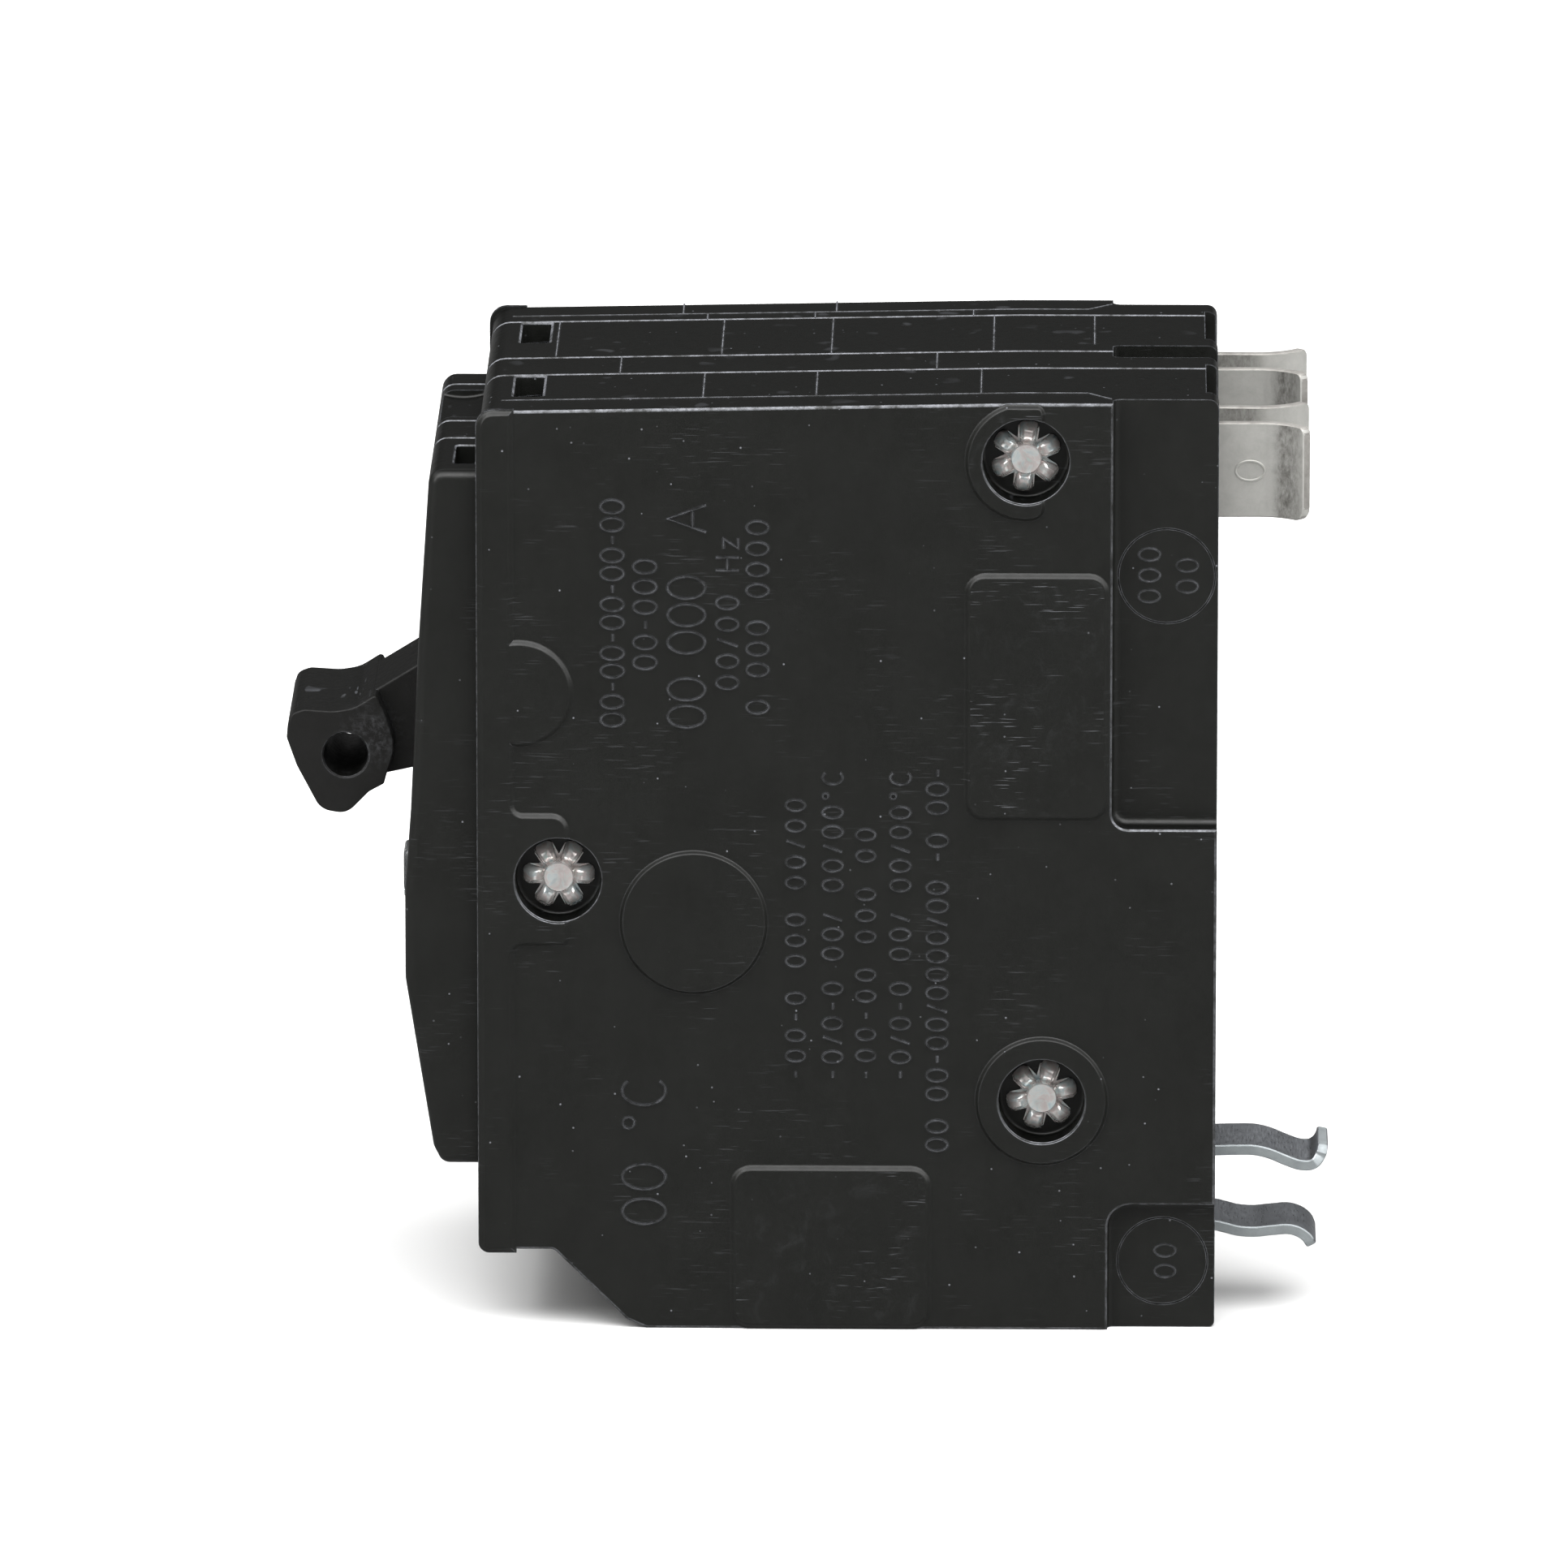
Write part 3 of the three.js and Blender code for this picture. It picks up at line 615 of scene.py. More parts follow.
def top_lines(y0, y1):
    """Fine raised lines left by the mould on the top face between y0 and y1."""
    def top_plane(u, v, height):
        return (u, v, top_height(u) + height)

    fine, rise, run_rise = 0.17, 0.045, 0.05
    slack = (0.1, 0.4)  # a line may end a little outside the moulding that it belongs to
    meshes = [stroke(line((x, low), (x, high)), False, fine, -ROOTED, rise, top_plane)
              for x, low, high in FLASH if y0 - slack[0] <= low and high <= y1 + slack[1]]
    runs = []
    for side, inner in ((-1, -14.9), (1, 15.1)):
        if y0 < inner < y1:
            run = line((1.7, inner), (TOP_SLOPE_END, inner), (48.3, inner), (50.2, side * 17.0))
            runs.append(stroke(run, False, fine, -ROOTED, run_rise, top_plane))
    solids = []
    for group in (meshes, runs):
        if group:
            solid = joined(group)
            for face in solid.data.polygons:
                # The lines take the edge finish, chalky wear that these upward faces show at full strength as
                # painted highlight.
                face.material_index = EDGE_FINISH
            solids.append(solid)
    return solids


# Each moulding: node, pole, its two faces across the breaker, and the outer side that it has, if any.
SHELLS = [
    ("pole_a_base", "a", -SIDE, -HALF + SEAM - GAP, -1),
    ("pole_a_cover", "a", -HALF + SEAM + GAP, -GAP, 0),
    ("pole_b_base", "b", GAP, SEAM - GAP, 0),
    ("pole_b_cover", "b", SEAM + GAP, SIDE, 1),
]


def build_shell(pole, y0, y1, side):
    """One moulding from y0 to y1: outer shape first, then every opening that crosses it."""
    shell = block(case_outline, "Y", y0, y1)
    nose_low, nose_high = max(y0, -NOSE_SIDE), min(y1, NOSE_SIDE)
    nose = block(nose_outline, "Y", nose_low, nose_high,
                 nose_blunt if side < 0 else RIM, nose_blunt if side > 0 else RIM)
    extras = [nose] + top_lines(y0, y1)
    if side:
        extras += side_pads(side)
    unite(shell, extras)
    y = POLE_Y[pole]
    cuts = ([cavity(y)] + rivet_bores() + recesses() + handle_space()
            + pole_openings(POLE_Y["a"]) + pole_openings(POLE_Y["b"]) + odd_openings())
    if side < 0:
        cuts += mould_rings()
    cut(shell, cuts)
    if side:
        unite(shell, raised_text(side))
    return shell


# ---------- placing and smoothing ----------
def place(solid, name, body, looks, replaced=(), sharp=38):
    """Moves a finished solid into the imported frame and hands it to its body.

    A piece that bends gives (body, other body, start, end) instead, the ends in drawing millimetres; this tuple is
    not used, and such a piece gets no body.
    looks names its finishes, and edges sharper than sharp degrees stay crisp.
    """
    solid.name = name
    solid.data.name = name
    mesh = bmesh.new()
    mesh.from_mesh(solid.data)
    bmesh.ops.remove_doubles(mesh, verts=mesh.verts, dist=1e-4)
    bmesh.ops.dissolve_degenerate(mesh, edges=mesh.edges, dist=1e-4)
    for vertex in mesh.verts:
        vertex.co = packed(*vertex.co)
    limit = math.radians(sharp)
    for face in mesh.faces:
        face.smooth = True
    for edge in mesh.edges:
        edge.smooth = len(edge.link_faces) == 2 and edge.calc_face_angle(0) < limit
    mesh.to_mesh(solid.data)
    mesh.free()
    weighted = solid.modifiers.new("weighted", "WEIGHTED_NORMAL")
    weighted.keep_sharp = True
    weighted.weight = 100
    for index, look in enumerate(looks):
        solid.data.materials[index] = finishes[look]
    while len(solid.data.materials) > len(looks):
        solid.data.materials.pop()
    if isinstance(body, str):
        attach(solid, body)
    else:
        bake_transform(solid)
    if replaced:
        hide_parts(*replaced)


# ---------- metal parts ----------
PETALS = 6
PETAL_REACH = 2.88
PETAL_ROOT, PETAL_TIP = 0.56, 0.78  # half widths where a petal leaves the button and at its end
ROOT = 1.32  # radius where the petals leave the button
SEAT = 0.05  # height of the ground between two petals
SKIRT = 1.06  # a petal's foot against its own width
SHANK = 1.58
# Stations across one petal: place (-1 to 1), cut-back of its end, share of its height.
PETAL = [(-1.0, 0.42, 0.5), (-0.84, 0.16, 0.82), (-0.5, 0.02, 1.0), (0.0, 0.0, 0.86), (0.5, 0.02, 1.0),
         (0.84, 0.16, 0.82), (1.0, 0.42, 0.5)]
# Radius and height over the button, then share of the reach and height along a rolled petal.
BUTTON = [(0.02, 1.02), (0.5, 1.16), (1.0, 1.34), (1.14, 1.33), (1.22, 1.24), (1.24, 0.8)]
CURL = [(0.0, 0.62), (0.14, 0.86), (0.34, 0.98), (0.56, 0.9), (0.78, 0.66), (0.93, 0.34), (1.0, 0.1)]


def star_rivet(at, phase):
    """Rivet through both poles, each end split into rolled petals around a button."""
    cut_back = PETAL[0][1]
    across = [(-SKIRT, cut_back, 0), *PETAL, (SKIRT, cut_back, 0)]
    base = BORE_FLOOR + 0.06
    web = 0.3  # how far the ground between two petals runs out

    def ring(share, level, side, lobed=False):
        points = []

        def add(turn, along_petal, sideways, rise):
            c, n = math.cos(turn), math.sin(turn)
            points.append((at.x + along_petal * c - sideways * n, side * (base + rise),
                           at.z + along_petal * n + sideways * c))

        for k in range(PETALS):
            turn = math.radians(phase + 360 / PETALS * k)
            gap = turn - math.pi / PETALS
            add(gap, ROOT + web * share if lobed else share, 0, SEAT if lobed else level)
            for s, back, height in across:
                start = math.sqrt(ROOT ** 2 - (s * PETAL_ROOT) ** 2)
                if lobed:
                    width = PETAL_ROOT + (PETAL_TIP - PETAL_ROOT) * share
                    reach = start + (PETAL_REACH - back - start) * share
                    add(turn, reach, s * width, level * height if height else SEAT)
                else:
                    add(turn + math.asin(s * PETAL_ROOT / ROOT), share, 0, level)
        return points

    def end(side):
        rings = [ring(r, h, side) for r, h in BUTTON]
        rings += [ring(share, h, side, lobed=True) for share, h in CURL]
        return rings + [ring(SHANK, 0.0, side)]

    return to_object(loft(end(-1) + end(1)[::-1]))


def smooth_path(points, steps=6):
    """Catmull-Rom curve through points."""
    points = [Vector(p) for p in points]
    ends = [2 * points[0] - points[1], *points, 2 * points[-1] - points[-2]]
    path = []
    for p0, p1, p2, p3 in zip(ends, ends[1:], ends[2:], ends[3:]):
        for k in range(steps):
            t = k / steps
            path.append(0.5 * (2 * p1 + (p2 - p0) * t + (2 * p0 - 5 * p1 + 4 * p2 - p3) * t * t
                               + (3 * p1 - p0 - 3 * p2 + p3) * t ** 3))
    return path + [points[-1]]


def strip(path, edges, thickness, to_point):
    """Sheet-metal strip along a flat middle line.

    edges(distance, length) gives the low and high edge across the strip; to_point maps
    (u, v, across) to a point. The cut edges and ends get the edge finish.
    """
    corner = 0.1
    travel = [0.0]
    for a, b in zip(path, path[1:]):
        travel.append(travel[-1] + (b - a).length)
    length = travel[-1]
    section = ((-1, 0), (1, 0), (1, 1), (-1, 1))  # side of the sheet, and whether at its high edge
    rings = []
    for i, here in enumerate(path):
        along_path = (path[min(i + 1, len(path) - 1)] - path[max(i - 1, 0)]).normalized()
        normal = Vector((-along_path.y, along_path.x))
        low, high = edges(travel[i], length)
        stages = [0.0]
        if i == 0:
            stages = [-1.0, 0.0]
        elif i == len(path) - 1:
            stages = [0.0, 1.0]
        for stage in stages:
            shrink = corner if stage else 0
            spot = here + along_path * corner * stage
            half = thickness / 2 - shrink
            ring = []
            for face, at_high in section:
                inward = -1 if at_high else 1
                edge = high - shrink if at_high else low + shrink
                corners = [(face * half, edge + inward * corner), (face * (half - corner), edge)]
                if face == inward:
                    corners.reverse()
                for n, b in corners:
                    ring.append(to_point(*(spot + normal * n), b))
            rings.append(ring)
    mesh = loft(rings, caps=(EDGE_FINISH, EDGE_FINISH))
    across = Vector(to_point(0, 0, 1)) - Vector(to_point(0, 0, 0))
    for face in mesh.faces:
        if len(face.verts) == 4 and abs(face.normal.dot(across)) > 0.6:
            face.material_index = EDGE_FINISH
    return to_object(mesh)


def line_jaw(y):
    """Sprung U of sheet metal that grips the bus stab, its tips flared outward."""
    sheet, flat_end, flare, bends = 0.8, 61.95, math.radians(54), 5
    inner = 3.2 - sheet / 2
    tip_x = JAW_HIGH.x - 0.15
    radius = (tip_x - flat_end) / math.sin(flare)
    root_x = JAW_LOW.x + sheet / 2
    arm = [(root_x, 0), (root_x, inner - 1.1), (root_x + 0.32, inner - 0.32), (root_x + 1.1, inner),
           (root_x + 4, inner), (root_x + 8, inner - 0.03), (flat_end, inner - 0.08)]
    for k in range(1, bends + 1):
        a = flare * k / bends
        arm.append((flat_end + radius * math.sin(a), inner - 0.08 + radius * (1 - math.cos(a))))
    points = [(x, -v) for x, v in arm[::-1]] + arm[1:]
    top_corner, low_corner = 0.45, 1.0

    def edges(distance, length):
        from_tip = min(distance, length - distance)

        def round_off(size):
            return size - math.sqrt(max(size ** 2 - max(size - from_tip, 0) ** 2, 0))
        return JAW_LOW.z + round_off(low_corner), JAW_HIGH.z - round_off(top_corner)

    path = smooth_path(points, 5)
    fine = (0, 0.15, 0.4, 0.7)  # extra stations where the corners round off
    tip_steps = [path[0] + (path[1] - path[0]) * t for t in fine]
    tail_steps = [path[-1] + (path[-2] - path[-1]) * t for t in fine[::-1]]
    path = tip_steps + path[1:-1] + tail_steps
    jaw = strip(path, edges, sheet, lambda u, v, w: (u, y + v, w))
    face_y = inner - 0.05 + sheet / 2
    digit = stroke(ellipse(61.2, 69.4, 1.15, 0.8, steps=28), True, 0.3, -ROOTED, 0.07,
                   lambda u, v, h: (u, y - face_y - h, v))
    return unite(jaw, [joined([digit])])


def rail_clip():
    """Sprung strip with two arms that grip the mounting rail."""
    sheet, half_width, y = 0.85, 3.4, middle("rail_clip").y
    loop = ellipse(54.2, 10.15, 3.15, 3.15, 110, 250, 7)
    points = [
        (67.38, 13.6), (67.26, 13.0), (66.9, 12.47), (66.3, 12.16), (65.4, 12.22), (64.3, 12.62),
        (63.1, 13.12), (61.9, 13.4), (60.4, 13.42), (58.0, 13.34), *loop,
        (58.2, 7.15), (59.4, 6.98), (60.6, 6.68), (61.9, 6.6), (63.3, 6.74), (64.6, 6.84), (65.5, 6.6),
        (66.15, 6.12), (66.5, 5.5)]
    tongue, slope, cut_back = 0.8, 0.6, 0.55  # the near side of the upper end is cut back
    tip_bevel, tail_bevel = 0.5, 0.4

    def edges(distance, length):
        bevel = max(tip_bevel - distance, tail_bevel - (length - distance), 0)
        low, high = y - half_width + bevel, y + half_width - bevel
        if distance < tongue + slope:
            low += cut_back * min(1, (tongue + slope - distance) / slope)
        return low, high

    return strip(smooth_path(points, 6), edges, sheet, lambda u, v, w: (u, w, v))


def capsule(start, end, radius, steps=10):
    """Outline of a rounded bar between two points."""
    a0 = math.degrees(math.atan2(end[1] - start[1], end[0] - start[0]))
    return (ellipse(*end, radius, radius, a0 - 90, a0 + 90, steps)
            + ellipse(*start, radius, radius, a0 + 90, a0 + 270, steps))


def handle():
    """Common toggle handle in its off position, with its drum, axle and the two cranks inside."""
    head = rounded([
        (-15.9, 45.8, 0.6), (-15.1, 43.5, 2), (-13.2, 39.85, 1.6), (-11.1, 39.5, 1.5), (-9.3, 41.35, 1.2),
        (-8.1, 42.0, 0.3), (-7.9, 42.75, 0.3), (-7.1, 45.0, 4), (-7.85, 47.5, 3), (-8.7, 49.4, 0.3),
        (-10.5, 48.25, 3), (-12.1, 48.0, 3), (-14.5, 48.15, 1.0), (-15.5, 47.8, 1.0), (-15.8, 46.9, 0.6)], 10)
    stem = rounded([
        (-9.5, 42.0), (-5.85, 42.8), (1, 44), (4, 49), (0, 54.65), (-5.38, 51.4), (-9.5, 48.85)])
    lift, crank = math.radians(21), 8.5
    pin = (PIVOT[0] + crank * math.cos(lift), PIVOT[1] + crank * math.sin(lift))
    half, stem_half, drum_half, axle_half = 7.15, 4.9, 6.2, 12.6
    body = block(head, "Y", -half, half, 0.16, 0.16)
    parts = [block(outline, "Y", -reach, reach) for outline, reach in (
        (stem, stem_half), (circle(*PIVOT, 6.4, 72), drum_half), (circle(*PIVOT, 2.8, 40), axle_half))]
    for y in POLE_Y.values():
        parts.append(block(capsule(PIVOT, pin, 1.8), "Y", y - 3, y - 1.9, 0.15, 0.15))
        parts.append(block(circle(*pin, 1.1, 32), "Y", y - 2, y + 1.9, 0, 0.15))
    unite(body, parts)
    hole = circle(-11.15, 44.4, 1.8, 48)
    bore = circle(*PIVOT, 1.25, 32)
    cuts = [mouth(hole, "Y", -side * 0.01, side * half, PANEL_RIM) for side in (-1, 1)]
    cuts.append(prism(bore, "Y", -axle_half - 0.4, axle_half + 0.4))
    return cut(body, cuts)


def lens():
    low, high = node_box("trip_lens")
    outline = rectangle(low.y, high.y, low.z, high.z, 0.5)
    return block(outline, "X", low.x, high.x, 0.3, 0)


def terminal_screw(pole):
    """Binding screw: cross-slotted head, ribbed shank."""
    low, high = node_box(f"terminal_screw_{pole}")
    y, z = POLE_Y[pole], (low.z + high.z) / 2
    head_radius, shank_radius, pitch, depth = 2.45, 2.0, 0.7, 0.16
    head = block(circle(y, z, head_radius, 48), "X", low.x, low.x + 3, 0.45, 0.2)
    turns = int((high.x - low.x - 3.2) / pitch)
    levels = [(low.x + 2.9, -depth, False)]
    for k in range(turns):
        start = low.x + 3.1 + k * pitch
        levels += [(start + pitch * 0.4, 0, False), (start + pitch, -depth, False)]
    levels.append((high.x, -0.5, False))
    unite(head, [stack(circle(y, z, shank_radius, 32), "X", levels)])
    slots = [prism(rectangle(y - a, y + a, z - b, z + b), "X", low.x - 1, low.x + 1.2)
             for a, b in ((3, 0.4), (0.35, 1.5))]
    return cut(head, slots)


def tube(points, radius, sides, twist=0.0, lobes=0, depth=0.0):
    """Round or lobed tube along a list of 3-D points, closed at its ends."""
    points = [Vector(p) for p in points]
    rings = []
    turn = 0.0
    up = Vector((0, 1, 0))
    for i, here in enumerate(points):
        ahead = (points[min(i + 1, len(points) - 1)] - points[max(i - 1, 0)]).normalized()
        side = (up - ahead * up.dot(ahead)).normalized()
        up = side
        other = ahead.cross(side)
        if i:
            turn += twist * (here - points[i - 1]).length
        ring = []
        for k in range(sides):
            a = 2 * math.pi * k / sides + turn
            r = radius * (1 + depth * math.cos(lobes * 2 * math.pi * k / sides))
            ring.append(here + side * r * math.cos(a) + other * r * math.sin(a))
        rings.append(ring)
    return to_object(loft(rings))


SPRING_X, SPRING_LOW, SPRING_HIGH = 30, 38.8, 49.2


def braid(pole):
    """Flexible braid from the bimetal to the contact arm."""
    y = POLE_Y[pole]
    route = [(30.1, 3.4, 32.6), (33.6, 3.6, 32.2), (36.4, 3.8, 36),
             (36.8, 3.8, 42), (37, 2.4, 46.6), (37, 1, 48.6)]
    points = smooth_path([(x, y + side, z) for x, side, z in route], 12)
    return tube(points, 0.68, 36, twist=1.6, lobes=9, depth=0.1)


def toggle_spring(pole):
    """Coil spring between the trip lever and the case."""
    y = POLE_Y[pole]
    turns, radius, wire_radius = 6, 1.6, 0.32
    steps = turns * 28
    points = []
    for k in range(steps + 1):
        a = 2 * math.pi * turns * k / steps
        points.append((SPRING_X + radius * math.cos(a), y + radius * math.sin(a),
                       SPRING_LOW + (SPRING_HIGH - SPRING_LOW) * k / steps))
    return tube(points, wire_radius, 10)


# ---------- materials ----------
def fill_ramp(ramp, stops):
    """Gives a new colour ramp exactly these (position, value) stops."""
    ramp.elements.remove(ramp.elements[1])
    for index, (position, value) in enumerate(stops):
        if index:
            element = ramp.elements.new(position)
        else:
            element = ramp.elements[0]
            element.position = position
        element.color = (*value, 1) if isinstance(value, tuple) else (value, value, value, 1)


class Finish:
    """One node-based material. Sockets and plain values can be given to every helper."""

    def __init__(self, name, **settings):
        self.material = bpy.data.materials.new(name)
        self.material.use_nodes = True
        self.tree = self.material.node_tree
        self.tree.nodes.clear()
        output = self.tree.nodes.new("ShaderNodeOutputMaterial")
        self.shader = self.tree.nodes.new("ShaderNodeBsdfPrincipled")
        self.tree.links.new(self.shader.outputs[0], output.inputs[0])
        coordinates = self.tree.nodes.new("ShaderNodeTexCoord")
        self.place = self.make("ShaderNodeVectorMath", {0: coordinates.outputs["Object"], 1: (1 / MM,) * 3},
                               operation="MULTIPLY").outputs[0]
        self.set(**settings)

    def make(self, kind, inputs=None, **properties):
        node = self.tree.nodes.new(kind)
        for key, value in properties.items():
            setattr(node, key, value)
        for key, value in (inputs or {}).items():
            if isinstance(value, bpy.types.NodeSocket):
                self.tree.links.new(value, node.inputs[key])
            else:
                node.inputs[key].default_value = value
        return node

    def set(self, **settings):
        """Sets Principled inputs by name, with _ for a space."""
        for key, value in settings.items():
            socket = self.shader.inputs[key.replace("_", " ")]
            if isinstance(value, bpy.types.NodeSocket):
                self.tree.links.new(value, socket)
            else:
                socket.default_value = value
        return self

    def noise(self, per_mm, detail=3.0, roughness=0.5, stretch=(1, 1, 1), turn=(0, 0, 0), seed=0.0,
              distortion=0.0):
        mapped = self.make("ShaderNodeMapping", {
            "Vector": self.place, "Rotation": turn, "Location": (seed, seed * 0.7, seed * 1.3),
            "Scale": tuple(per_mm * s for s in stretch)})
        return self.make("ShaderNodeTexNoise", {
            "Vector": mapped.outputs[0], "Scale": 1.0, "Detail": detail, "Roughness": roughness,
            "Distortion": distortion}).outputs["Fac"]

    def ramp(self, factor, *stops):
        """Value or colour ramp of (position, value) stops; a value may be a number or (r, g, b)."""
        node = self.make("ShaderNodeValToRGB", {"Fac": factor})
        fill_ramp(node.color_ramp, stops)
        return node.outputs["Color"]

    def mix(self, factor, first, second):
        node = self.make("ShaderNodeMix", data_type="RGBA")
        for index, value in ((0, factor), (6, first), (7, second)):
            if isinstance(value, bpy.types.NodeSocket):
                self.tree.links.new(value, node.inputs[index])
            else:
                node.inputs[index].default_value = (*value, 1) if isinstance(value, tuple) else value
        return node.outputs[2]

    def math(self, operation, first, second=0.0, clamp=True):
        node = self.make("ShaderNodeMath", {0: first, 1: second}, operation=operation, use_clamp=clamp)
        return node.outputs[0]

    def times(self, first, second):
        return self.math("MULTIPLY", first, second)

    def most(self, first, *others):
        """The highest of several values."""
        for other in others:
            first = self.math("MAXIMUM", first, other)
        return first

    def rough(self, low, high, per_mm, detail=3, roughness=0.6, **noise):
        """Roughness that wanders between two values."""
        self.set(Roughness=self.ramp(self.noise(per_mm, detail, roughness, **noise), (0.3, low), (0.7, high)))

    def bump(self, height, strength, distance_mm=0.05):
        """Adds relief, which ends a material, and gives the material."""
        node = self.make("ShaderNodeBump", {
            "Height": height, "Strength": strength, "Distance": distance_mm * MM})
        self.tree.links.new(node.outputs[0], self.shader.inputs["Normal"])
        return self.material

    def edges(self, radius_mm):
        """1 along outer edges within a radius, 0 on flat ground and in inner corners."""
        soft = self.make("ShaderNodeBevel", {"Radius": radius_mm * MM}, samples=4).outputs[0]
        true = self.make("ShaderNodeNewGeometry").outputs["Normal"]
        match = self.make("ShaderNodeVectorMath", {0: soft, 1: true}, operation="DOT_PRODUCT")
        bend = self.ramp(self.math("SUBTRACT", 1.0, match.outputs["Value"]), (0.03, 0.0), (0.2, 1.0))
        open_air = self.make("ShaderNodeAmbientOcclusion", {"Distance": 0.5 * MM}, samples=4,
                             only_local=True).outputs["AO"]
        return self.times(bend, self.ramp(open_air, (0.62, 0.0), (0.86, 1.0)))

    def facing(self, axis):
        """How far a face is turned along an axis, 0 to 2 for X to Z."""
        normal = self.make("ShaderNodeNewGeometry").outputs["Normal"]
        return self.make("ShaderNodeSeparateXYZ", {0: normal}).outputs[axis]

    def upward(self, sideways, up, start=0.5, end=0.9):
        """One value on faces turned sideways, another on those turned up."""
        return self.ramp(self.facing(2), (start, sideways), (end, up))

    def scratches(self, seed, amount=0.6):
        """Thin straight marks in three directions, where a patchy mask lets them show."""
        marks = [self.noise(1.0, 1.0, 0.5, (0.35, 0.35, 7.0), (0, turn, 0), seed + shift)
                 for turn, shift in ((0.35, 3.0), (-0.6, 11.0), (1.35, 23.0))]
        patches = self.ramp(self.noise(0.16, 2.0, 0.5, seed=seed + 5), (0.5, 0.0), (0.66, amount))
        return self.times(self.most(*(self.ramp(m, (0.69, 0.0), (0.74, 1.0)) for m in marks)), patches)

    def dust(self, seed):
        """Scattered pale specks a tenth of a millimetre across."""
        cells = self.make("ShaderNodeMapping", {"Vector": self.place, "Location": (seed, seed, seed)})
        voronoi = self.make("ShaderNodeTexVoronoi", {
            "Vector": cells.outputs[0], "Scale": 0.9, "Randomness": 1.0})
        dots = self.ramp(voronoi.outputs["Distance"], (0.05, 1.0), (0.09, 0.0))
        cell_value = self.make("ShaderNodeSeparateColor", {0: voronoi.outputs["Color"]}).outputs[0]
        return self.times(dots, self.ramp(cell_value, (0.7, 0.0), (0.9, 0.8)))


# Painted shade: the near-black that upward faces of the black mouldings are darkened towards.
PAINTED_TOP_SHADE = (0.0022, 0.0023, 0.002)
BLACK_LOW = (0.0052, 0.0055, 0.0045)
BLACK_HIGH = (0.0105, 0.011, 0.0098)
# The pale grey of bruised phenolic and dust; along edges it also serves as painted highlight.
CHALK_AND_EDGE_HIGHLIGHT = (0.27, 0.28, 0.31)  # bruised phenolic and dust


def phenolic(name, seed, scuff=0.0, scratch=0.14):
    """Satin black moulding compound with chalky edges that are partly wear and partly painted highlight,
    scratches, haze, dust and painted shade on upward faces.
    """
    f = Finish(name)
    f.set(Specular_IOR_Level=f.upward(0.42, 0.06))
    ground = f.mix(f.noise(0.22, 4, 0.55, seed=seed), BLACK_LOW, BLACK_HIGH)
    flow = f.ramp(f.noise(0.9, 3, 0.6, (1, 1, 0.25), seed=seed + 2), (0.3, 0.0), (0.75, 0.35))
    # Painted shade: upward faces are darkened towards the near-black, so the top reads darker than the sides.
    ground = f.mix(f.upward(0.0, 0.85), f.mix(flow, ground, BLACK_HIGH), PAINTED_TOP_SHADE)
    rub = f.ramp(f.noise(1.1, 4, 0.7, seed=seed + 7), (0.34, 0.12), (0.62, 0.7))
    # Chalk along outer edges: partly rubbed wear, partly a painted highlight on the rims.
    edge_wear_and_highlight = f.times(f.edges(0.16), rub)
    marks = f.most(f.times(f.scratches(seed, scratch), 0.5), f.times(f.dust(seed + 3), 0.6),
                   f.times(edge_wear_and_highlight, 0.75))
    if scuff:
        haze = f.ramp(f.noise(0.42, 7, 0.75, seed=seed + 13, distortion=0.8), (0.53, 0.0), (0.72, scuff))
        marks = f.most(marks, haze)
    f.set(Base_Color=f.mix(marks, ground, CHALK_AND_EDGE_HIGHLIGHT))
    rough = f.ramp(f.noise(1.6, 3, 0.6, seed=seed + 17), (0.3, 0.31), (0.7, 0.43))
    f.set(Roughness=f.math("ADD", rough, f.times(marks, 0.35)))
    fine, coarse = (f.times(f.noise(size, 2, 0.5, seed=seed + n), 0.5) for size, n in ((7.0, 19), (1.2, 23)))
    return f.bump(f.math("ADD", fine, coarse), 0.18)


def worn_edge_with_painted_highlight(name, seed):
    """Rounded moulding edge: black where the skin is whole, chalky where it's rubbed, and brightest on
    upward-facing edges as a painted highlight from the light above.
    """
    f = Finish(name, Specular_IOR_Level=0.5, Roughness=0.5)
    rub = f.ramp(f.noise(0.8, 5, 0.7, seed=seed), (0.36, 0.06), (0.56, 0.75))
    nicks = f.ramp(f.noise(3.5, 3, 0.6, seed=seed + 3), (0.3, 0.4), (0.6, 1.0))
    # The chalk is scaled up on upward-facing edges: painted highlight on top of the wear.
    amount = f.times(f.times(rub, nicks), f.upward(0.3, 1.0, 0.1, 0.6))
    f.set(Base_Color=f.mix(amount, BLACK_HIGH, CHALK_AND_EDGE_HIGHLIGHT))
    return f.bump(f.noise(5.0, 3, 0.6, seed=seed + 9), 0.3, 0.04)


def metal(name, light, dark, roughness, seed, grain=(1, 1, 1), smudge=0.5, relief=0.12, metallic=0.95):
    """Plated or bare sheet metal: cloudy colour, dark stains, fine grain in one direction."""
    f = Finish(name, Metallic=metallic)
    clouds = f.ramp(f.noise(0.5, 5, 0.65, seed=seed, distortion=0.4), (0.35, 0.0), (0.7, smudge))
    fine = f.ramp(f.noise(4.0, 4, 0.7, grain, seed=seed + 3), (0.35, 0.0), (0.75, 0.45))
    f.set(Base_Color=f.mix(f.most(clouds, fine), light, dark))
    f.rough(roughness - 0.08, roughness + 0.1, 2.2, 4, stretch=grain, seed=seed + 5)
    return f.bump(f.noise(5.0, 4, 0.65, grain, seed=seed + 7), relief)


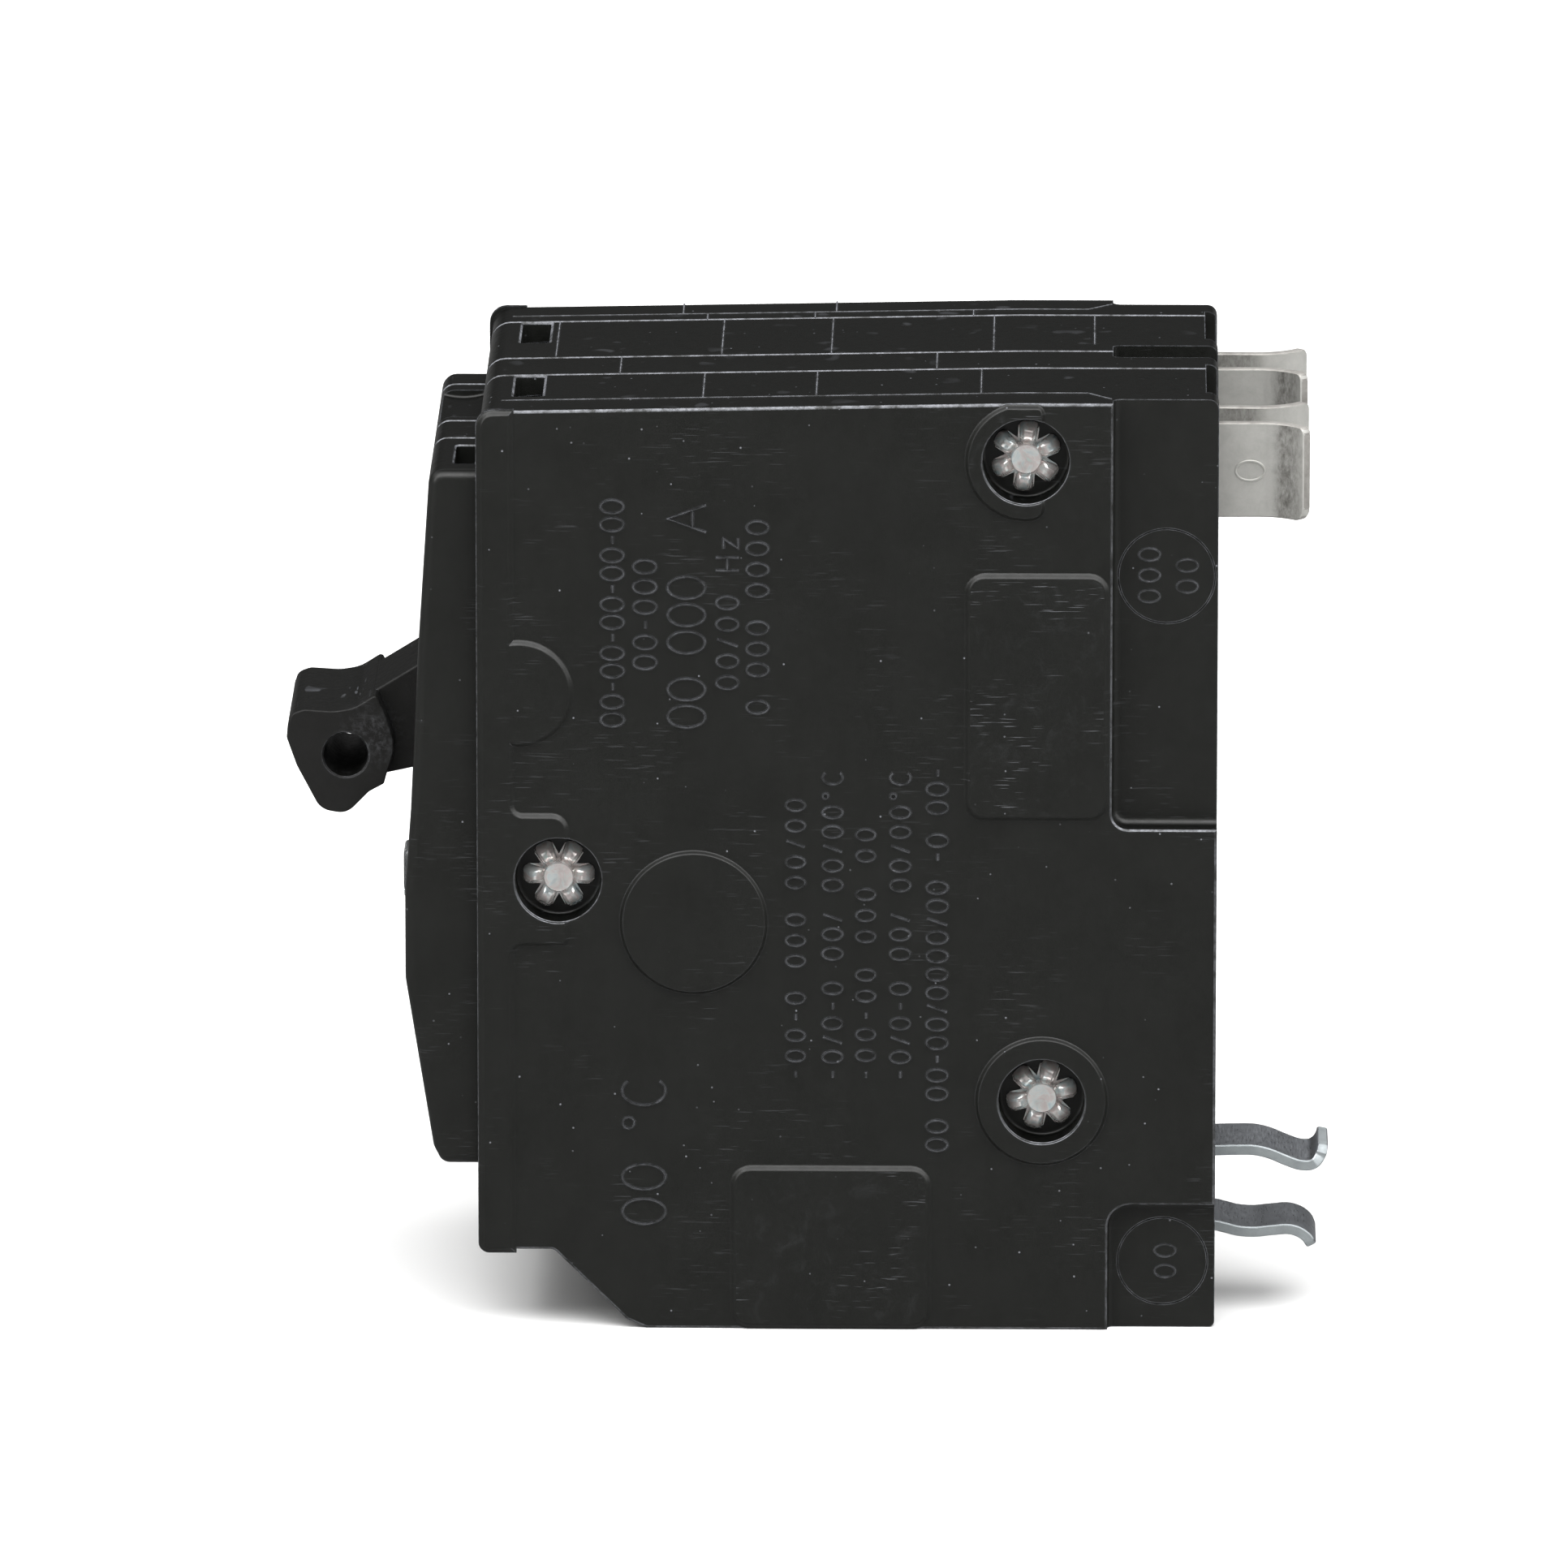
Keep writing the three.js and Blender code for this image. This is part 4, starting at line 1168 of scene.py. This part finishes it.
def tinned_jaw(name, seed):
    """Matt tin plate: inside the jaw it's darkened up to the flare, smudges and painted shade inside the U;
    outside a stain band along the flare.
    """
    f = Finish(name, Metallic=0.5)

    def plain(operation, first, second=0.0):
        return f.math(operation, first, second, clamp=False)

    clouds = f.ramp(f.noise(0.7, 6, 0.7, seed=seed, distortion=0.5), (0.36, 0.0), (0.72, 0.5))
    ground = f.mix(clouds, (0.5, 0.495, 0.47), (0.34, 0.34, 0.32))
    parts = f.make("ShaderNodeSeparateXYZ", {0: f.place})
    ragged = f.noise(1.3, 5, 0.7, seed=seed + 2, distortion=0.8)
    along_x = plain("ADD", plain("ADD", parts.outputs[0], -SHIFT), plain("MULTIPLY", ragged, 0.8))
    from_pole = plain("SUBTRACT", plain("ABSOLUTE", parts.outputs[1]), PITCH / 2)
    away = plain("MULTIPLY", from_pole, plain("MULTIPLY", plain("SIGN", parts.outputs[1]), f.facing(1)))
    outside = f.math("GREATER_THAN", away, 0.0)
    reach = plain("MULTIPLY", along_x, 0.01)
    band = f.ramp(reach, (0.634, 0.0), (0.642, 0.9), (0.652, 0.6), (0.659, 0.0))
    # Painted shade: the inside of the jaw is darkened up to the flare, broken up by the smear.
    inner = f.ramp(reach, (0.5, 0.75), (0.618, 0.6), (0.63, 0.0))
    smear = f.ramp(f.noise(2.6, 5, 0.75, (1, 1, 0.5), seed=seed + 4), (0.34, 0.25), (0.66, 1.0))
    stain_and_inner_shade = f.times(f.mix(outside, inner, band), smear)
    f.set(Base_Color=f.mix(stain_and_inner_shade, ground, (0.07, 0.064, 0.055)))
    f.rough(0.4, 0.55, 2.5, 4, seed=seed + 6)
    return f.bump(f.noise(3.5, 5, 0.7, seed=seed + 8), 0.2, 0.06)


def bright_zinc(name, seed):
    """Bright zinc plate with a faint rainbow of passivation colours."""
    f = Finish(name, Metallic=0.72)
    tint = f.ramp(f.noise(0.9, 3, 0.6, seed=seed, distortion=1.2), (0.3, (0.62, 0.76, 0.8)),
                  (0.45, (0.84, 0.86, 0.84)), (0.56, (0.8, 0.7, 0.68)), (0.7, (0.7, 0.82, 0.78)))
    dull = f.ramp(f.noise(1.8, 4, 0.6, seed=seed + 3), (0.45, 0.0), (0.8, 0.2))
    f.set(Base_Color=f.mix(dull, tint, (0.42, 0.42, 0.42)))
    f.rough(0.16, 0.24, 3.0, seed=seed + 5)
    return f.bump(f.noise(4.0, 3, 0.6, seed=seed + 7), 0.04)


def handle_black(name, seed):
    """Matt black handle moulding, rubbed grey beside its cross hole, with chalky edges that are partly wear and
    partly painted highlight, and painted shade on upward faces.
    """
    f = Finish(name)
    f.set(Specular_IOR_Level=f.upward(0.34, 0.08))
    ground = f.mix(f.noise(0.4, 4, 0.6, seed=seed), (0.0058, 0.0058, 0.0052), (0.0115, 0.0112, 0.0105))
    # Painted shade: upward faces of the handle are darkened towards the near-black.
    ground = f.mix(f.upward(0.0, 0.7), ground, PAINTED_TOP_SHADE)
    rubbed_spot = (-8.9 + SHIFT, -6.5, 46.0)
    away = f.make("ShaderNodeVectorMath", {0: f.place, 1: rubbed_spot}, operation="DISTANCE").outputs["Value"]
    near = f.ramp(f.times(away, 0.1), (0.1, 1.0), (0.34, 0.0))
    rubbed = f.times(near, f.ramp(f.noise(1.8, 6, 0.75, seed=seed + 2), (0.46, 0.0), (0.74, 0.17)))
    # Chalk along outer edges: partly rubbed wear, partly a painted highlight on the rims.
    edge_wear_and_highlight = f.times(f.edges(0.14), f.ramp(f.noise(1.2, 4, 0.7, seed=seed + 4), (0.4, 0.05), (0.62, 0.6)))
    marks = f.most(rubbed, edge_wear_and_highlight, f.times(f.scratches(seed), 0.35))
    f.set(Base_Color=f.mix(marks, ground, CHALK_AND_EDGE_HIGHLIGHT))
    f.rough(0.48, 0.62, 2.0, seed=seed + 6)
    return f.bump(f.noise(6.0, 3, 0.6, seed=seed + 8), 0.22)


def window(name):
    """Clear moulded window, slightly dusty."""
    f = Finish(name, Transmission_Weight=0.94, IOR=1.45)
    haze = f.noise(2.0, 4, 0.6, seed=4)
    f.set(Base_Color=f.mix(haze, (0.93, 0.95, 0.95), (0.78, 0.81, 0.82)))
    f.set(Roughness=f.ramp(haze, (0.3, 0.03), (0.7, 0.1)))
    return f.bump(f.noise(1.0, 2, 0.5, seed=6), 0.05)


def moulded(name, light, dark, roughness, seed, speckle=3.0):
    """Plain moulded or pressed plastic with a mottled tone."""
    f = Finish(name)
    f.set(Base_Color=f.mix(f.noise(speckle, 5, 0.7, seed=seed), dark, light))
    f.rough(roughness - 0.06, roughness + 0.08, 1.5, seed=seed + 2)
    return f.bump(f.noise(5.0, 3, 0.6, seed=seed + 4), 0.15)


def woven_copper(name, seed):
    """Fine stranded braid: two crossing sets of strands."""
    f = Finish(name, Metallic=0.95)
    waves = []
    for turn in (0.7, -0.7):
        mapped = f.make("ShaderNodeMapping", {"Vector": f.place, "Rotation": (turn, turn, 0)})
        waves.append(f.make("ShaderNodeTexWave", {
            "Vector": mapped.outputs[0], "Scale": 1.6, "Distortion": 0.6, "Detail": 1.0}).outputs["Fac"])
    strands = f.most(*waves)
    f.set(Base_Color=f.mix(strands, (0.22, 0.08, 0.04), (0.78, 0.4, 0.24)))
    f.rough(0.3, 0.45, 3.0, seed=seed)
    return f.bump(strands, 0.6, 0.12)


finishes = {
    "case_black": phenolic("case_black", 1.0),
    "case_scuffed": phenolic("case_scuffed", 31.0, scuff=0.03, scratch=0.5),
    "case_edge": worn_edge_with_painted_highlight("case_edge", 5.0),
    "handle_black": handle_black("handle_black", 9.0),
    "tinned_copper": tinned_jaw("tinned_copper", 3.0),
    # Cut edges of the jaw: a darker copy of the tin, painted shade that tones down the light from above, with dark
    # smudges.
    "tin_edge": metal("tin_edge", (0.34, 0.33, 0.31), (0.14, 0.13, 0.12), 0.55, 8.0,
                      smudge=0.7, metallic=0.4),
    "zinc_steel": metal("zinc_steel", (0.42, 0.44, 0.47), (0.2, 0.21, 0.235), 0.33, 12.0, (4, 0.4, 4), 0.6),
    "zinc_edge": metal("zinc_edge", (0.36, 0.39, 0.4), (0.2, 0.22, 0.23), 0.5, 14.0, (0.5, 6, 0.5),
                       0.6, 0.3, 0.5),
    "rivet_steel": bright_zinc("rivet_steel", 2.0),
    "copper": metal("copper", (0.72, 0.36, 0.22), (0.4, 0.17, 0.1), 0.36, 16.0, (0.3, 4, 4)),
    "silver_contact": metal("silver_contact", (0.82, 0.81, 0.77), (0.5, 0.49, 0.46), 0.3, 18.0),
    "dark_steel": metal("dark_steel", (0.2, 0.2, 0.215), (0.08, 0.08, 0.088), 0.45, 20.0, (0.4, 4, 4)),
    "spring_steel": metal("spring_steel", (0.5, 0.52, 0.55), (0.26, 0.27, 0.29), 0.3, 22.0),
    "bimetal": metal("bimetal", (0.56, 0.5, 0.4), (0.34, 0.3, 0.23), 0.34, 24.0, (4, 4, 0.3)),
    "lug_metal": metal("lug_metal", (0.66, 0.66, 0.65), (0.4, 0.4, 0.39), 0.42, 26.0),
    "clear_lens": window("clear_lens"),
    "flag_red": moulded("flag_red", (0.62, 0.05, 0.035), (0.42, 0.03, 0.02), 0.42, 28.0),
    "trip_bar_fibre": moulded("trip_bar_fibre", (0.34, 0.28, 0.2), (0.2, 0.16, 0.11), 0.7, 30.0, 6.0),
    "braid_copper": woven_copper("braid_copper", 33.0),
}

# ---------- pieces ----------
for node, *shell in SHELLS:
    place(build_shell(*shell), f"{node}_moulding", "case",
          ["case_black", "case_edge", "case_scuffed"], [node])
for (rivet, at), turn in zip(RIVETS.items(), (25, 0, 14)):
    place(star_rivet(at, turn), f"{rivet}_star", "case", ["rivet_steel"], [rivet])
for pole, y in POLE_Y.items():
    place(line_jaw(y), f"line_jaw_{pole}_sheet", "case",
          ["tinned_copper", "tin_edge"], [f"line_jaw_{pole}"])
    place(terminal_screw(pole), f"terminal_screw_{pole}_slotted", f"terminal_screw_{pole}",
          ["rivet_steel"], [f"terminal_screw_{pole}"])
    bend = ("case", f"contact_arm_{pole}", (36.6, y, 35), (36.9, y, 47.5))
    place(braid(pole), f"flexible_braid_{pole}_strands", bend,
          ["braid_copper"], [f"flexible_braid_{pole}"], 60)
    bend = ("case", f"trip_lever_{pole}", (SPRING_X, y, SPRING_HIGH), (SPRING_X, y, SPRING_LOW))
    place(toggle_spring(pole), f"toggle_spring_{pole}_coil", bend,
          ["spring_steel"], [f"toggle_spring_{pole}"], 60)
place(rail_clip(), "rail_clip_strip", "case", ["zinc_steel", "zinc_edge"], ["rail_clip"])
place(handle(), "handle_toggle", "handle", ["handle_black", "handle_black"], ["handle"])
place(lens(), "trip_lens_window", "case", ["clear_lens"], ["trip_lens"])

for part in frame["record"]["subparts"]:
    node = frame["nodes"][part["node"]]
    for slot in node.material_slots:
        slot.material = finishes[part["material_slot"]]

# ---------- studio ----------
FLOOR_SIZE = 12.0
floor_mesh = bmesh.new()
bmesh.ops.create_grid(floor_mesh, x_segments=8, y_segments=8, size=FLOOR_SIZE / 2)
floor = to_object(floor_mesh, "floor")
pale = Finish("pale_floor", Specular_IOR_Level=0.1)
pale.set(Base_Color=pale.mix(pale.noise(0.01, 2, 0.5), (0.9, 0.9, 0.895), (0.92, 0.92, 0.915)), Roughness=0.9)
floor.data.materials[0] = pale.material
floor.visible_glossy = False


def soft_box(name, position, target, width, height, watts):
    light = bpy.data.lights.new(name, "AREA")
    light.shape = "RECTANGLE"
    light.size, light.size_y, light.energy = width, height, watts
    holder = bpy.data.objects.new(name, light)
    holder.location = position
    holder.rotation_euler = (Vector(target) - Vector(position)).to_track_quat("-Z", "Y").to_euler()
    bpy.context.scene.collection.objects.link(holder)


soft_box("overhead", (0.0, -0.55, 1.3), (0, 0, 0.03), 2.2, 1.1, 32)
soft_box("front_left", (-1.3, -0.9, 0.6), (0, 0, 0.04), 0.6, 0.8, 5)
soft_box("right", (1.3, -0.5, 0.6), (0, 0, 0.04), 0.6, 0.9, 5)

world = bpy.data.worlds.new("studio")
world.use_nodes = True
sky = world.node_tree
direction = sky.nodes.new("ShaderNodeSeparateXYZ")
sky.links.new(sky.nodes.new("ShaderNodeTexCoord").outputs["Generated"], direction.inputs[0])
height = sky.nodes.new("ShaderNodeMapRange")
height.inputs["From Min"].default_value = -1
sky.links.new(direction.outputs[2], height.inputs["Value"])
bands = sky.nodes.new("ShaderNodeValToRGB")
sky.links.new(height.outputs[0], bands.inputs[0])
# Brightness of the surroundings from straight down (0) over the horizon (0.5) to straight up (1).
fill_ramp(bands.color_ramp, ((0.0, 0.2), (0.49, 0.2), (0.53, 0.04), (0.7, 0.08), (0.8, 1.0)))
sky.links.new(bands.outputs[0], sky.nodes["Background"].inputs[0])
SKY_STRENGTH = 1.3
sky.nodes["Background"].inputs[1].default_value = SKY_STRENGTH
bpy.context.scene.world = world
bpy.context.scene.view_settings.view_transform = "Standard"

# ---------- camera ----------
CAMERA_AZIMUTH = math.radians(0.941)
CAMERA_ELEVATION = math.radians(14.227)
CAMERA_DISTANCE = 1.5554
SENSOR_MM, FOCAL_MM = 36.0, 442.95
AIM = Vector(packed(23.9, 0, 40.32))
back_off = Vector((math.sin(CAMERA_AZIMUTH) * math.cos(CAMERA_ELEVATION),
                   -math.cos(CAMERA_AZIMUTH) * math.cos(CAMERA_ELEVATION), math.sin(CAMERA_ELEVATION)))
lens_data = bpy.data.cameras.new("camera")
lens_data.sensor_width = SENSOR_MM
lens_data.lens = FOCAL_MM
lens_data.clip_start, lens_data.clip_end = 0.05, 40.0
camera = bpy.data.objects.new("camera", lens_data)
camera.location = AIM + back_off * CAMERA_DISTANCE
camera.rotation_euler = (-back_off).to_track_quat("-Z", "Y").to_euler()
bpy.context.scene.collection.objects.link(camera)
bpy.context.scene.camera = camera
